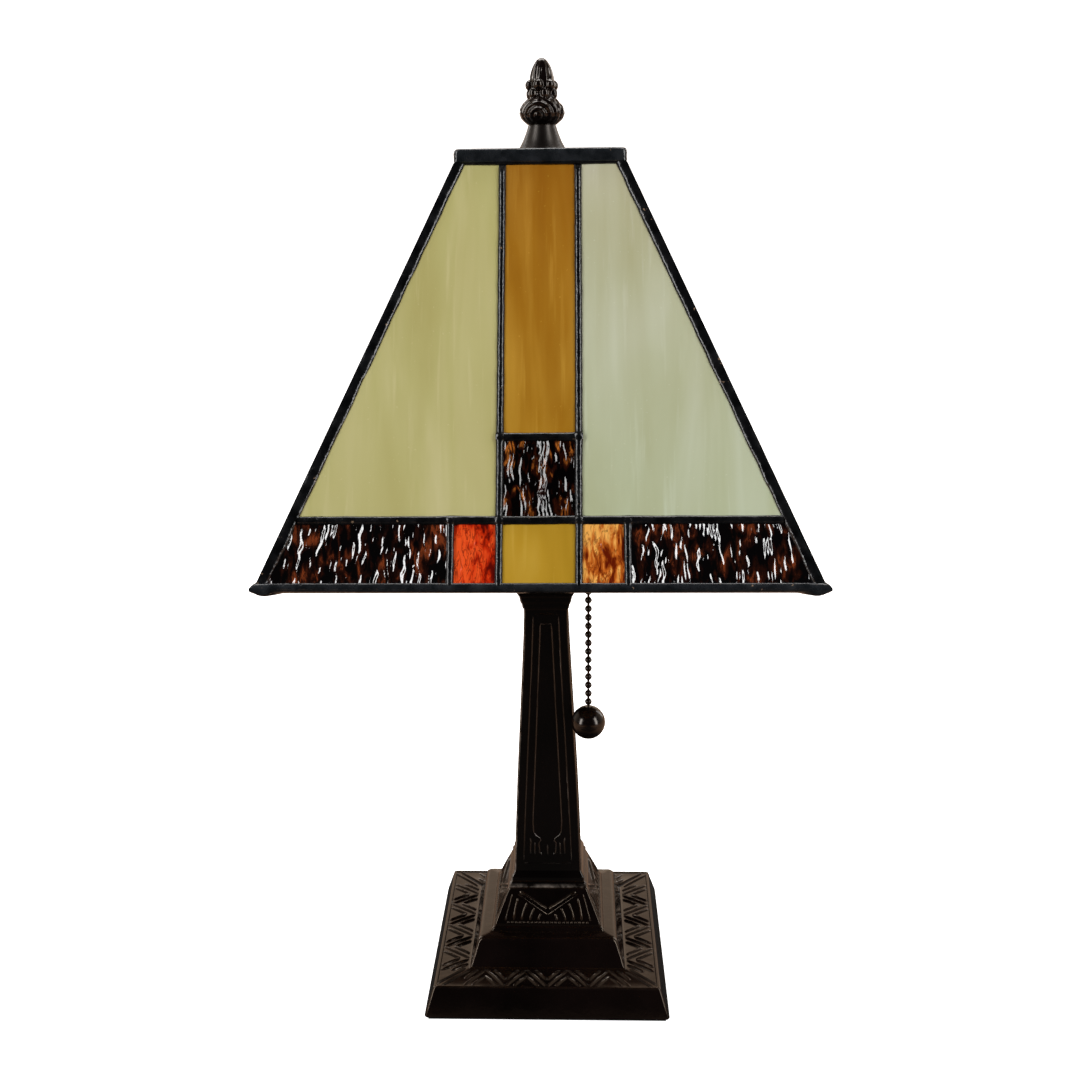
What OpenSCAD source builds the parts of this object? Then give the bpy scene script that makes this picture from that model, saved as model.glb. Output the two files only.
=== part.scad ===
// A table lamp with a leaded glass shade: a stepped square base, a tapered column, a harp and a
// four-sided shade of flat panels. Millimetres, +Z up, the origin under the middle of the base.

/* [Base] */
// Width of the plinth where it stands on the table
base_w = 102; // [98:1:106]
// Height of the plinth
plinth_h = 13.6; // [12.6:0.2:14.6]
// Width of the smooth second tier at its foot
tier_two_w = 65.8; // [64:0.2:68]
// Height of the top of the second tier
tier_two_top = 25.5; // [24.5:0.5:26.5]
// Width of the ornamented third tier at its foot
tier_three_w = 48.6; // [46:0.2:49]
// Height of the top of the third tier
tier_three_top = 42.2; // [41:0.2:44]
// Thickness of the casting
cast_wall = 3.2; // [2.6:0.2:3.6]

/* [Column] */
// Height of the top of the capital
column_top = 178; // [176:1:178]
// Width of the shaft just above its foot
shaft_low_w = 28.8; // [27.8:0.2:29.8]
// Width of the shaft just below the capital
shaft_high_w = 18.2; // [17.6:0.2:19]
// Outside radius of the threaded tube
tube_r = 5.1; // [4.7:0.1:5.2]

/* [Shade] */
// Width of the shade across its bottom edge
shade_w = 194.8; // [190:0.2:200]
// Height of the bottom edge of the shade
rim_z = 201.5; // [200:0.5:203]
// Height at which the panels meet the top cap
panel_top_z = 342.4; // [341.4:0.2:343]
// Width of the square top cap
cap_w = 62.4; // [61:0.2:65]
// Height of the skirt of the top cap
cap_h = 4.9; // [4.4:0.1:5.4]
// Depth of a seam, through the thickness of a panel
seam_depth = 5; // [4.6:0.2:5.2]
// Thickness of the glass
glass_t = 2.8; // [2.4:0.2:3]
// Width of the upright seams
seam_w = 2.4; // [2:0.1:2.8]
// Width of the level seams
level_seam_w = 2.8; // [2.4:0.1:3.2]
// Half of the width of the middle column of panes, to the middle of its seams
middle_u = 13.6; // [12.6:0.2:14.6]
// Distance of the outer seams of the bottom row from the middle
outer_u = 30.2; // [29:0.2:31]
// Distance up the panel to the middle of the seam above the bottom row
row_v = 24.7; // [23:0.1:26]
// Distance up the panel to the middle of the seam above the square pane
square_v = 54; // [52:0.5:56]

/* [Harp] */
// Distance of each arm of the harp from the middle
harp_half = 29.8; // [29:0.2:31]
// Radius of the harp wire
harp_wire_r = 1.6; // [1.4:0.1:1.8]
// Radius of the stud that carries shade and finial
stud_r = 3.175; // [3:0.025:3.2]

/* [Socket and bulb] */
// Outside radius of the socket shell
socket_r = 18.2; // [17.8:0.2:18.6]
// Height of the mouth of the socket
socket_mouth_z = 236; // [235:1:238]
// Largest radius of the bulb
bulb_r = 24; // [22:1:24]

/* [Pull chain] */
// Place of the chain to the right of the column
chain_x = 17.5; // [17:0.5:20]
// Place of the chain in front of the column, as a negative number
chain_y = -20; // [-22:0.5:-19]
// Radius of one bead
bead_r = 1.45; // [1.3:0.05:1.5]
// Distance between beads
bead_pitch = 3.65; // [3.5:0.05:3.8]
// Radius of the ball on the end of the chain
ball_r = 7; // [6:0.5:7]
// Height of the middle of the ball
ball_z = 121; // [119:1:124]

/* [Hidden] */
$fn = 48;
run_gap = 0.075;      // radial clearance of the turning fits
rest_gap = 0.05;      // gap under faces that rest on each other and turn
free_gap = 0.3;       // gap between a bead and the next wire that swings
pad_h = 1.2;
pad_inset = 1.5;
bronze = "#2b1d17";
patina = "#22262a";
brass = "#a88a4c";

SIDES = ["front", "right", "back", "left"];
PANES = ["cream_left", "cream_right", "amber", "brown_square", "gold", "red", "orange", "borders"];

// ---- Shapes that several pieces share ----

// A square-section solid whose four faces all have the same outline, a list of [half width, height]
module square_turning(outline) {
  intersection() {
    side_view(outline);
    rotate([0, 0, 90]) side_view(outline);
  }
}

module side_view(outline) {
  widest = max([for (p = outline) p[0]]);
  mirrored = [for (i = [len(outline) - 1 : -1 : 0]) [-outline[i][0], outline[i][1]]];
  rotate([90, 0, 0]) linear_extrude(2 * widest, center = true) polygon(concat(outline, mirrored));
}

// Points of a slightly swollen slope, from its lower outer end to its upper inner end
function swollen_slope(inner, low_z, width, height) =
  [for (p = [[1, 0], [0.76, 0.27], [0.53, 0.52], [0.29, 0.77], [0.08, 0.95], [0, 1]])
    [inner + width * p.x, low_z + height * p.y]];

module tube(outer, inner, z0, z1) {
  difference() {
    translate([0, 0, z0]) cylinder(r = outer, h = z1 - z0);
    translate([0, 0, z0 - 1]) cylinder(r = inner, h = z1 - z0 + 2);
  }
}

// ---- Base and column ----

module base_pad() {
  color("#3a3a34")
  difference() {
    translate([-base_w / 2 + pad_inset, -base_w / 2 + pad_inset, 0])
      cube([base_w - 2 * pad_inset, base_w - 2 * pad_inset, pad_h]);
    translate([0, 0, -1]) cylinder(r = 20, h = pad_h + 2);
  }
}

plinth_slope = 3.8;       // how far the plinth draws in over its height
tier_two_slope = 3.1;     // how far its straight side draws in
edge_round = 1.6;
third_top_w = 35.4;
bushing_z = 6.6;
bushing_r = 4;

module base_plinth() {
  flare = 1.4;            // height of the small fillet under the third tier
  third_low = tier_three_w / 2 - 1.2;
  outside = concat(
    [[base_w / 2, pad_h], [base_w / 2 - plinth_slope, plinth_h], [tier_two_w / 2, plinth_h],
     [tier_two_w / 2 - tier_two_slope, tier_two_top - edge_round]],
    [[tier_two_w / 2 - tier_two_slope - edge_round, tier_two_top],
     [tier_three_w / 2, tier_two_top], [tier_three_w / 2, tier_two_top + flare / 2],
     [third_low, tier_two_top + flare]],
    swollen_slope(third_top_w / 2 - 1, tier_two_top + flare + 1.2, third_low - third_top_w / 2 + 0.8,
      tier_three_top - tier_two_top - flare - 1.2)
  );
  inside = [
    [base_w / 2 - cast_wall - 0.4, pad_h - 1],
    [base_w / 2 - plinth_slope - cast_wall, plinth_h - cast_wall],
    [tier_two_w / 2 - cast_wall, plinth_h - cast_wall],
    [tier_two_w / 2 - tier_two_slope - cast_wall, tier_two_top - cast_wall],
    [tier_three_w / 2 - cast_wall - 2, tier_two_top - cast_wall],
    [third_top_w / 2 - cast_wall, tier_three_top - cast_wall]
  ];
  color(bronze)
  difference() {
    square_turning(outside);
    square_turning(inside);
    translate([0, 0, tier_two_top]) cylinder(r = tube_r, h = tier_three_top);
    translate([0, base_w / 2 - 12, bushing_z]) rotate([-90, 0, 0]) cylinder(r = bushing_r, h = 20);
  }
}

module column() {
  foot_w = 33.4;
  capital_w = 25;
  neck_z = column_top - 11;
  outline = [
    [foot_w / 2, tier_three_top], [foot_w / 2, 43.9], [foot_w / 2 - 0.9, 44.6],
    [foot_w / 2 - 0.9, 46.6], [shaft_low_w / 2 + 0.5, 48.4], [shaft_low_w / 2, 49.2],
    [12.65, 91], [9.4, 153], [shaft_high_w / 2, neck_z - 3],
    [shaft_high_w / 2 + 0.2, neck_z], [shaft_high_w / 2 + 1.4, neck_z + 3],
    [shaft_high_w / 2 + 1.8, neck_z + 5.6], [shaft_high_w / 2 + 2.9, neck_z + 7.5],
    [capital_w / 2, neck_z + 8.6], [capital_w / 2, column_top]
  ];
  color(bronze)
  difference() {
    square_turning(outline);
    translate([0, 0, tier_three_top - 1]) cylinder(r = tube_r + 0.3, h = column_top);
  }
}

tube_low_z = 30;
tube_high_z = 189;

module threaded_tube() {
  color("silver") tube(tube_r, tube_r - 1.5, tube_low_z, tube_high_z);
}

module base_nut() {
  nut_r = 9.2;
  nut_h = 5.5;
  flange_r = 11.5;
  top_z = tier_three_top - cast_wall;
  color("silver")
  difference() {
    union() {
      translate([0, 0, top_z - nut_h]) cylinder(r = nut_r, h = nut_h - 1, $fn = 6);
      translate([0, 0, top_z - 1.2]) cylinder(r = flange_r, h = 1.2);
    }
    translate([0, 0, tube_low_z]) cylinder(r = tube_r, h = 20);
  }
}

module cord_bushing() {
  bushing_length = 8;
  outer_y = base_w / 2 - 0.2;
  color("#1c1c1c")
  translate([0, outer_y - bushing_length, bushing_z])
    rotate([-90, 0, 0])
      difference() {
        cylinder(r = bushing_r, h = bushing_length);
        translate([0, 0, -1]) cylinder(r = 2.8, h = bushing_length + 2);
      }
}

// ---- Socket and bulb ----

socket_low_z = column_top + 1.5;
shell_wall = 0.9;

module socket_cap() {
  hub_r = 7.4;
  top_z = 197;
  wall = 1;
  color(brass)
  rotate_extrude()
    polygon([
      [tube_r, socket_low_z], [hub_r, socket_low_z], [hub_r, 184], [12, 185.5], [16.5, 188.5],
      [socket_r + wall, 193], [socket_r + wall, top_z], [socket_r, top_z], [socket_r, 193.6],
      [15.8, 189.8], [11.6, 187], [8.5, 186], [8.5, tube_high_z], [tube_r, tube_high_z]
    ]);
}

spout_angle = atan2(chain_y, chain_x);
spout_reach = norm([chain_x, chain_y]);
spout_low_z = 197.6;
spout_top_z = 210;
spout_bore_r = 2.1;

module socket_shell() {
  spout_r = 3.5;
  arm_r = 2.6;
  arm_z = 205;
  color(brass)
  difference() {
    union() {
      translate([0, 0, 193.8]) cylinder(r = socket_r, h = socket_mouth_z - 193.8);
      rotate([0, 0, spout_angle]) {
        translate([0, 0, arm_z]) rotate([0, 90, 0]) cylinder(r = arm_r, h = spout_reach);
        translate([spout_reach, 0, spout_low_z]) cylinder(r = spout_r, h = spout_top_z - spout_low_z);
      }
    }
    translate([0, 0, 193]) cylinder(r = socket_r - shell_wall, h = 60);
    rotate([0, 0, spout_angle]) translate([spout_reach, 0, spout_low_z - 1])
      cylinder(r = spout_bore_r, h = spout_top_z - spout_low_z);
  }
}

bulb_base_r = 13.05;
bulb_base_low_z = 213;

module socket_interior() {
  screw_wall = 0.6;
  color("#d8d2c4") {
    difference() {
      translate([0, 0, 191]) cylinder(r = 15, h = 19);
      translate([0, 0, 209]) cylinder(r = 3, h = 2);
    }
    difference() {
      translate([0, 0, 210]) cylinder(r = bulb_base_r + run_gap + screw_wall, h = socket_mouth_z - 212);
      translate([0, 0, 211]) cylinder(r = bulb_base_r + run_gap, h = socket_mouth_z);
    }
  }
}

module bulb_base() {
  color("silver")
  difference() {
    union() {
      translate([0, 0, bulb_base_low_z + 2.5]) cylinder(r = bulb_base_r, h = 21.5);
      translate([0, 0, bulb_base_low_z + 1]) cylinder(r = 9, h = 2);
      translate([0, 0, bulb_base_low_z]) cylinder(r = 4.5, h = 1.5);
    }
    translate([0, 0, bulb_base_low_z + 5]) cylinder(r = bulb_base_r - 0.6, h = 30);
  }
}

// Outline of the bulb: the neck, a straight shoulder that meets the round, and the round itself
module bulb_outline(shrink) {
  mid_z = 275.5;
  neck_r = 12.4;
  neck_low_z = 232;
  neck_top_z = 241;
  round_r = bulb_r - shrink;
  polygon(concat(
    [[0, neck_low_z - shrink], [neck_r - shrink, neck_low_z - shrink], [neck_r - shrink, neck_top_z]],
    [for (a = [-40 : 5 : 90]) [round_r * cos(a), mid_z + round_r * sin(a)]]
  ));
}

module bulb_glass() {
  color("#f4f2ea")
  rotate_extrude() difference() {
    bulb_outline(0);
    bulb_outline(0.9);
  }
}

// ---- Harp ----

saddle_t = 1.5;
saddle_w = 8;
saddle_arm_z = 203;
peg_top_z = 209;
ferrule_wall = 1;
seat_low_z = 336.5;
seat_r = 5.5;
cap_under_z = panel_top_z + cap_h - 1;
stud_top_z = 361;
bend_r = 40;              // radius of the upper bends of the harp
bend_angle = 40;
bend_drop = bend_r * (1 - cos(bend_angle));
lean_x = harp_half - bend_drop;
wire_top_z = 341;
bend_low_z = wire_top_z - (lean_x - seat_r) / tan(bend_angle) - bend_r * sin(bend_angle);

module harp_saddle() {
  outer = harp_half + saddle_t / 2;
  half = [
    [15, column_top], [outer, 193], [outer, saddle_arm_z], [outer - saddle_t, saddle_arm_z],
    [outer - saddle_t, 193.8], [14.4, column_top + saddle_t]
  ];
  other_half = [for (i = [len(half) - 1 : -1 : 0]) [-half[i][0], half[i][1]]];
  color(brass) {
    difference() {
      rotate([90, 0, 0]) linear_extrude(saddle_w, center = true) polygon(concat(half, other_half));
      translate([0, 0, column_top - 1]) cylinder(r = tube_r, h = 5);
    }
    for (side = [-1, 1])
      translate([side * harp_half, 0, saddle_arm_z]) cylinder(r = harp_wire_r, h = peg_top_z - saddle_arm_z);
  }
}

module harp_ferrules() {
  color(brass)
  for (side = [-1, 1])
    translate([side * harp_half, 0, 0])
      tube(harp_wire_r + ferrule_wall, harp_wire_r, saddle_arm_z, peg_top_z + 7);
}

module harp_loop() {
  color(brass)
  difference() {
    for (side = [0, 1]) mirror([side, 0, 0]) harp_wire();
    translate([0, 0, seat_low_z - 5]) cylinder(r = seat_r, h = 30);
  }
}

// The wire of the right-hand arm: straight, then bent inward, then straight up to the seat.
// The bend is a hair thinner and runs a little way into both straight stretches.
module harp_wire() {
  thinner = 0.05;
  run_in = 2;
  translate([harp_half, 0, peg_top_z]) cylinder(r = harp_wire_r, h = bend_low_z - peg_top_z);
  translate([harp_half - bend_r, 0, bend_low_z]) rotate([90, 0, 0]) rotate([0, 0, -run_in])
    rotate_extrude(angle = bend_angle + 2 * run_in, $fn = 96)
      translate([bend_r, 0]) circle(harp_wire_r - thinner);
  translate([lean_x, 0, bend_low_z + bend_r * sin(bend_angle)])
    rotate([0, -bend_angle, 0]) cylinder(r = harp_wire_r, h = lean_x / sin(bend_angle));
}

module harp_seat() {
  shoulder_r = 8.5;
  shoulder_z = cap_under_z - rest_gap;
  color(brass)
  rotate_extrude()
    polygon([
      [0, seat_low_z], [seat_r, seat_low_z], [seat_r, shoulder_z - 2], [shoulder_r, shoulder_z - 1.6],
      [shoulder_r, shoulder_z], [stud_r, shoulder_z], [stud_r, stud_top_z - 0.5],
      [stud_r - 0.5, stud_top_z], [0, stud_top_z]
    ]);
}

// ---- Shade ----

draw_in = (shade_w - cap_w) / 2;
panel_rise = panel_top_z - rim_z;
tilt = atan(draw_in / panel_rise);          // of a panel from upright
slant = norm([draw_in, panel_rise]);        // height of a panel along its slope
rim_v = 2.8;                                // width of the rim channel
hip_w = 3.8;                                // level width of a hip seam on each panel
glass_inset = 1;                            // how deep the glass lies below the seams
top_seam_w = 0.6;

// Half width of a whole panel at the distance v up the slope, and of its part inside the hips
function panel_u(v) = shade_w / 2 - v * sin(tilt);
function hip_u(v) = panel_u(v) - hip_w;

low_v = rim_v;
row_low_v = row_v - level_seam_w / 2;
row_high_v = row_v + level_seam_w / 2;
square_low_v = square_v - level_seam_w / 2;
square_high_v = square_v + level_seam_w / 2;
high_v = slant - top_seam_w;
middle_in_u = middle_u - seam_w / 2;
middle_out_u = middle_u + seam_w / 2;
outer_in_u = outer_u - seam_w / 2;
outer_out_u = outer_u + seam_w / 2;

// A point [u, v] of a panel: u level along the panel, v up its slope. z points out of the panel.
module on_side(index) {
  rotate([0, 0, 90 * index]) translate([0, -shade_w / 2, rim_z]) rotate([90 - tilt, 0, 0]) children();
}

// The space of one side between the vertical planes through its hips
module side_wedge(index) {
  reach = shade_w;
  rotate([0, 0, 90 * index]) translate([0, 0, rim_z]) linear_extrude(panel_rise)
    polygon([[0, 0], [-reach, -reach], [reach, -reach]]);
}

function block(u0, u1, v0, v1) = [[u0, v0], [u1, v0], [u1, v1], [u0, v1]];

// A block from u0 out to the hip, on the right
function to_hip(u0, v0, v1) = [[u0, v0], [hip_u(v0), v0], [hip_u(v1), v1], [u0, v1]];
function flip(outline) = [for (p = outline) [-p[0], p[1]]];

border_outline = to_hip(outer_out_u, low_v, row_low_v);
cream_outline = to_hip(middle_out_u, row_high_v, high_v);
small_outline = block(middle_out_u, outer_in_u, low_v, row_low_v);

// The outlines of each kind of pane. The two border panes are mirror images of each other.
function pane_outlines(pane) =
  pane == "cream_left" ? [flip(cream_outline)] :
  pane == "cream_right" ? [cream_outline] :
  pane == "amber" ? [block(-middle_in_u, middle_in_u, square_high_v, high_v)] :
  pane == "brown_square" ? [block(-middle_in_u, middle_in_u, row_high_v, square_low_v)] :
  pane == "gold" ? [block(-middle_in_u, middle_in_u, low_v, row_low_v)] :
  pane == "red" ? [flip(small_outline)] :
  pane == "orange" ? [small_outline] :
  [flip(border_outline), border_outline];

function pane_colour(pane) =
  pane == "cream_left" ? "#c9c48a" :
  pane == "cream_right" ? "#bcc7a4" :
  pane == "amber" ? "#a8701c" :
  pane == "gold" ? "#b9922c" :
  pane == "red" ? "#cc3c14" :
  pane == "orange" ? "#d2701c" : "#38190f";

module glass_pane(index, pane) {
  color(pane_colour(pane))
  on_side(index) for (outline = pane_outlines(pane))
    translate([0, 0, -glass_inset - glass_t]) linear_extrude(glass_t) polygon(outline);
}

// A strip of a panel from hip to hip
module level_strip(v0, v1) {
  polygon([[-hip_u(v0), v0], [hip_u(v0), v0], [hip_u(v1), v1], [-hip_u(v1), v1]]);
}

module seam_net(index) {
  over = 3;
  color(patina)
  intersection() {
    side_wedge(index);
    on_side(index) translate([0, 0, -seam_depth]) linear_extrude(seam_depth) {
      level_strip(row_low_v, row_high_v);
      level_strip(high_v, slant + over);
      for (side = [-1, 1]) {
        translate([side * middle_u - seam_w / 2, low_v]) square([seam_w, slant - low_v + over]);
        translate([side * outer_u - seam_w / 2, low_v]) square([seam_w, row_v - low_v]);
      }
      translate([-middle_u, square_low_v]) square([2 * middle_u, level_seam_w]);
    }
  }
}

// The strip of one panel between its glass and one hip
module hip_strip(index, side) {
  low = -4;
  high = slant + 4;
  intersection() {
    side_wedge(index);
    on_side(index) translate([0, 0, -seam_depth]) linear_extrude(seam_depth)
      polygon([[side * hip_u(low), low], [side * (hip_u(low) + 2 * hip_w), low],
               [side * (hip_u(high) + 2 * hip_w), high], [side * hip_u(high), high]]);
  }
}

module hip_seams() {
  color(patina)
  difference() {
    for (index = [0 : 3]) {
      hip_strip(index, 1);
      hip_strip((index + 1) % 4, -1);
    }
    for (index = [0 : 3]) rim_strip(index);
    corner_blobs();
  }
}

module rim_strip(index) {
  low = -4;
  intersection() {
    side_wedge(index);
    on_side(index) translate([0, 0, -seam_depth]) linear_extrude(seam_depth)
      polygon([[-shade_w, low], [shade_w, low], [shade_w, rim_v], [-shade_w, rim_v]]);
  }
}

// The solder that gathers at the four lower corners
module corner_blobs() {
  blob_r = 3.9;
  blob_at = shade_w / 2 - 2.2;
  for (sx = [-1, 1], sy = [-1, 1]) translate([sx * blob_at, sy * blob_at, rim_z + 1.6]) sphere(blob_r);
}

module rim_channel() {
  color(patina) {
    for (index = [0 : 3]) rim_strip(index);
    corner_blobs();
  }
}

module top_cap() {
  plate_t = 1;
  skirt_t = 1.2;
  inner = cap_w - 2 * skirt_t;
  color(patina)
  difference() {
    translate([-cap_w / 2, -cap_w / 2, panel_top_z]) cube([cap_w, cap_w, cap_h]);
    translate([-inner / 2, -inner / 2, panel_top_z - 1]) cube([inner, inner, cap_h]);
    translate([0, 0, panel_top_z]) cylinder(r = stud_r + run_gap, h = cap_h + plate_t);
  }
}

// ---- Finial ----

cap_top_z = panel_top_z + cap_h;
neck_top_z = 357;
knob_tip_z = 381;

module finial_neck() {
  color(bronze)
  rotate_extrude()
    polygon([
      [stud_r + run_gap, cap_top_z + rest_gap], [9.4, cap_top_z + rest_gap], [9.4, 348], [8.75, 348.9],
      [8.05, 350], [7.4, 351.3], [6.8, 352.7], [6.2, 354.2], [5.7, 355.6], [5.4, neck_top_z],
      [stud_r + run_gap, neck_top_z]
    ]);
}

module finial() {
  bore_top_z = stud_top_z + 1;
  color(bronze)
  rotate_extrude()
    polygon([
      [stud_r + run_gap, neck_top_z], [5.5, neck_top_z], [7.1, 358.3], [8.2, 359.6], [8.65, 361.2],
      [8.45, 362.8], [7.5, 364.8], [5.8, 366.4], [5.3, 367.2], [5.9, 369], [6.1, 371], [5.1, 372.6],
      [4.6, 374.4], [4.2, 375.9], [3.1, 378.5], [2.1, 380.1], [0, knob_tip_z], [0, bore_top_z],
      [stud_r + run_gap, bore_top_z]
    ]);
}

// ---- Pull chain ----

first_bead_z = ball_z + ball_r + 2;
swivel_bead = 18;                           // number of the bead that the chain swings from
slider_beads = 3;

function bead_z(number) = first_bead_z + number * bead_pitch;

module bead(number) {
  translate([chain_x, chain_y, bead_z(number)]) sphere(bead_r, $fn = 24);
}

module bead_wire(z0, z1) {
  wire_r = 0.5;
  translate([chain_x, chain_y, z0]) cylinder(r = wire_r, h = z1 - z0, $fn = 16);
}

module chain_slider() {
  color(bronze) {
    for (i = [1 : slider_beads]) bead(swivel_bead + i);
    bead_wire(bead_z(swivel_bead) + bead_r + free_gap, bead_z(swivel_bead + slider_beads));
  }
}

module chain_swivel() {
  color(bronze) bead(swivel_bead);
}

module pull_chain() {
  color(bronze) {
    for (i = [0 : swivel_bead - 1]) bead(i);
    bead_wire(ball_z + ball_r, bead_z(swivel_bead) - bead_r - free_gap);
  }
}

module pull_ball() {
  color(bronze)
  difference() {
    translate([chain_x, chain_y, ball_z]) sphere(ball_r);
    translate([chain_x, chain_y, ball_z + ball_r - 0.1]) cylinder(r = 2, h = 3);
  }
}

// ---- Drawing ----

for (index = [0 : 3]) {
  for (pane = PANES)
    glass_pane(index, pane);
  seam_net(index);
}
hip_seams();
rim_channel();
top_cap();
finial();
finial_neck();
harp_saddle();
harp_loop();
harp_ferrules();
harp_seat();
socket_cap();
socket_shell();
socket_interior();
bulb_glass();
bulb_base();
chain_slider();
chain_swivel();
pull_chain();
pull_ball();
column();
base_plinth();
threaded_tube();
base_nut();
base_pad();
cord_bushing();
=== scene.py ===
# %% [markdown]
# # A table lamp with a leaded glass shade
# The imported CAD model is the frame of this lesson: it says where every piece is and what moves. The cells
# below dress it piece by piece, with glass, solder and cast metal that are built as meshes and painted with
# procedural materials. Everything is in metres and in the frame's own place, so nothing has to be fitted.

# %% Load the frame
import math

import bmesh
import bpy
from mathutils import Euler, Matrix, Vector, noise


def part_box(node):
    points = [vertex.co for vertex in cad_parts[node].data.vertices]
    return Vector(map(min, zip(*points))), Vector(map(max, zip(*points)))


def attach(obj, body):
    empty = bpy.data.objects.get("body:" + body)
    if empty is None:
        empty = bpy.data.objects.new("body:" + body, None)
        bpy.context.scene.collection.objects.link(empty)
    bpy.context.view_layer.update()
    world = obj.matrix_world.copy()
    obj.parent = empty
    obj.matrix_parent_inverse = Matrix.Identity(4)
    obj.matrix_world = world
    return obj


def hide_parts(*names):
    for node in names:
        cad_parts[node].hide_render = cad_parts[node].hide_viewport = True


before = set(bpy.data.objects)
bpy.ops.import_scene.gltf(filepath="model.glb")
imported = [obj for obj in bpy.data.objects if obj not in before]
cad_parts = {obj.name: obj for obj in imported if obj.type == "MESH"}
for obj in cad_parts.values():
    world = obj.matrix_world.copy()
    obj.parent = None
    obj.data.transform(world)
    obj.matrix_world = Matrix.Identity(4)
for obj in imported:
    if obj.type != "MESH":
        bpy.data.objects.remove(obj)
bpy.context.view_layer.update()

MM = 0.001

# %% [markdown]
# ## The camera
# The camera looks at the lamp from a little above its middle, through a normal lens. It is put in place
# and turned by its yaw, pitch and roll, because a tracking constraint would hide those three numbers from
# the reader.

# %% Camera
lens_mm, sensor_mm = 41.0, 36.0
camera_place = (0.0129, -0.4928, 0.3247)
yaw, pitch, roll = 0.031, -0.26, -0.01
camera = bpy.data.objects.new("camera", bpy.data.cameras.new("camera"))
camera.data.lens = lens_mm
camera.data.sensor_width = sensor_mm
camera.data.clip_start = 0.01
camera.location = camera_place
turn = Euler((math.pi / 2 + pitch, 0, yaw), "XYZ").to_matrix()
camera.rotation_euler = (turn @ Matrix.Rotation(roll, 3, "Z")).to_euler()
bpy.context.scene.collection.objects.link(camera)
bpy.context.scene.camera = camera
bpy.context.scene.view_settings.view_transform = "Standard"
print("camera at", tuple(round(x, 3) for x in camera.location))

# %% [markdown]
# ## Studio light
# Dark glossy pieces show nothing but what they reflect, so the studio matters more than any colour. It has
# a white sweep under and behind the lamp. Two tall soft boxes in front at the sides draw the upright streaks
# in the rippled glass, two weaker ones light the back, and one hangs above. The room is staged: the camera
# sees plain white all round, but the lamp mirrors a dark room in front, a warm wall behind and a brown
# floor. In a room that is white to mirrors too, the castings would look chalky.

# %% World
ROOM_DARK, ROOM_WARM = (0.012, 0.012, 0.013, 1), (0.80, 0.68, 0.56, 1)
world = bpy.data.worlds.new("studio")
bpy.context.scene.world = world
world.use_nodes = True
world_nodes, world_links = world.node_tree.nodes, world.node_tree.links
direction = world_nodes.new("ShaderNodeTexCoord")
split = world_nodes.new("ShaderNodeSeparateXYZ")
room = world_nodes.new("ShaderNodeValToRGB")
depth = world_nodes.new("ShaderNodeMapRange")
depth.inputs["From Min"].default_value = -1.0
for stop, colour, position in zip(room.color_ramp.elements, (ROOM_DARK, ROOM_WARM), (0.35, 0.80)):
    stop.color = colour
    stop.position = position
world_links.new(direction.outputs["Generated"], split.inputs[0])
world_links.new(split.outputs["Y"], depth.inputs["Value"])
world_links.new(depth.outputs["Result"], room.inputs["Fac"])
backdrop = world_nodes.new("ShaderNodeMix")
backdrop.data_type = "RGBA"
backdrop.inputs["B"].default_value = (1.0, 1.0, 1.0, 1)
camera_ray = world_nodes.new("ShaderNodeLightPath").outputs["Is Camera Ray"]
world_links.new(camera_ray, backdrop.inputs["Factor"])
world_links.new(room.outputs["Color"], backdrop.inputs["A"])
world_links.new(backdrop.outputs["Result"], world_nodes["Background"].inputs["Color"])


# %% Soft boxes
def soft_box(name, place, target, size, power):
    """Adds an area light of size (width, height) that looks from place to target."""
    light = bpy.data.lights.new(name, "AREA")
    light.shape = "RECTANGLE"
    light.size, light.size_y = size
    light.energy = power
    box = bpy.data.objects.new(name, light)
    box.location = place
    box.rotation_euler = (Vector(target) - Vector(place)).to_track_quat("-Z", "Y").to_euler()
    bpy.context.scene.collection.objects.link(box)


middle = (0, 0, 0.2)
soft_box("soft_box_left", (-0.87, -0.62, 0.66), middle, (0.30, 1.2), 9.3)
soft_box("soft_box_right", (0.87, -0.58, 0.66), middle, (0.29, 1.2), 8.9)
soft_box("soft_box_back_left", (-0.85, 0.70, 0.66), middle, (0.16, 1.1), 2.6)
soft_box("soft_box_back_right", (0.85, 0.70, 0.66), middle, (0.16, 1.1), 2.6)
soft_box("soft_box_top", (0.0, 0.35, 1.3), middle, (0.9, 0.5), 8)


# %% Sweep
def staged_sheet(name, profile, half_width):
    """A sheet along x whose section is profile, a list of (y, z)."""
    mesh = bpy.data.meshes.new(name)
    points = [(x, y, z) for y, z in profile for x in (-half_width, half_width)]
    strips = [(i, i + 1, i + 3, i + 2) for i in range(0, 2 * len(profile) - 2, 2)]
    mesh.from_pydata(points, [], strips)
    mesh.shade_smooth()
    sheet = bpy.data.objects.new(name, mesh)
    bpy.context.scene.collection.objects.link(sheet)
    return mesh


front_edge, bend_start, bend_radius, wall_top, sweep_half = -2.0, 0.9, 0.6, 2.4, 3.0
paper_z = -0.3 * MM                        # a hair under the pad, so that the two faces never share a plane
bend_steps = 12
sweep_profile = [(front_edge, paper_z), (0.0, paper_z), (bend_start, paper_z)]
for step in range(1, bend_steps + 1):
    angle = math.pi / 2 * step / bend_steps
    sweep_profile.append((bend_start + bend_radius * math.sin(angle), bend_radius * (1 - math.cos(angle))))
sweep_profile.append((bend_start + bend_radius, wall_top))
sweep_mesh = staged_sheet("sweep", sweep_profile, sweep_half)


# %% [markdown]
# ## A small kit for materials
# Every finish below is a Principled shader fed by noise. The class keeps the node calls short: it makes
# noise, ramps and bumps in the piece's own coordinates. Image textures could do the same, but noise has no
# edge and no resolution, and it stays sharp when the camera comes close.

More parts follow.
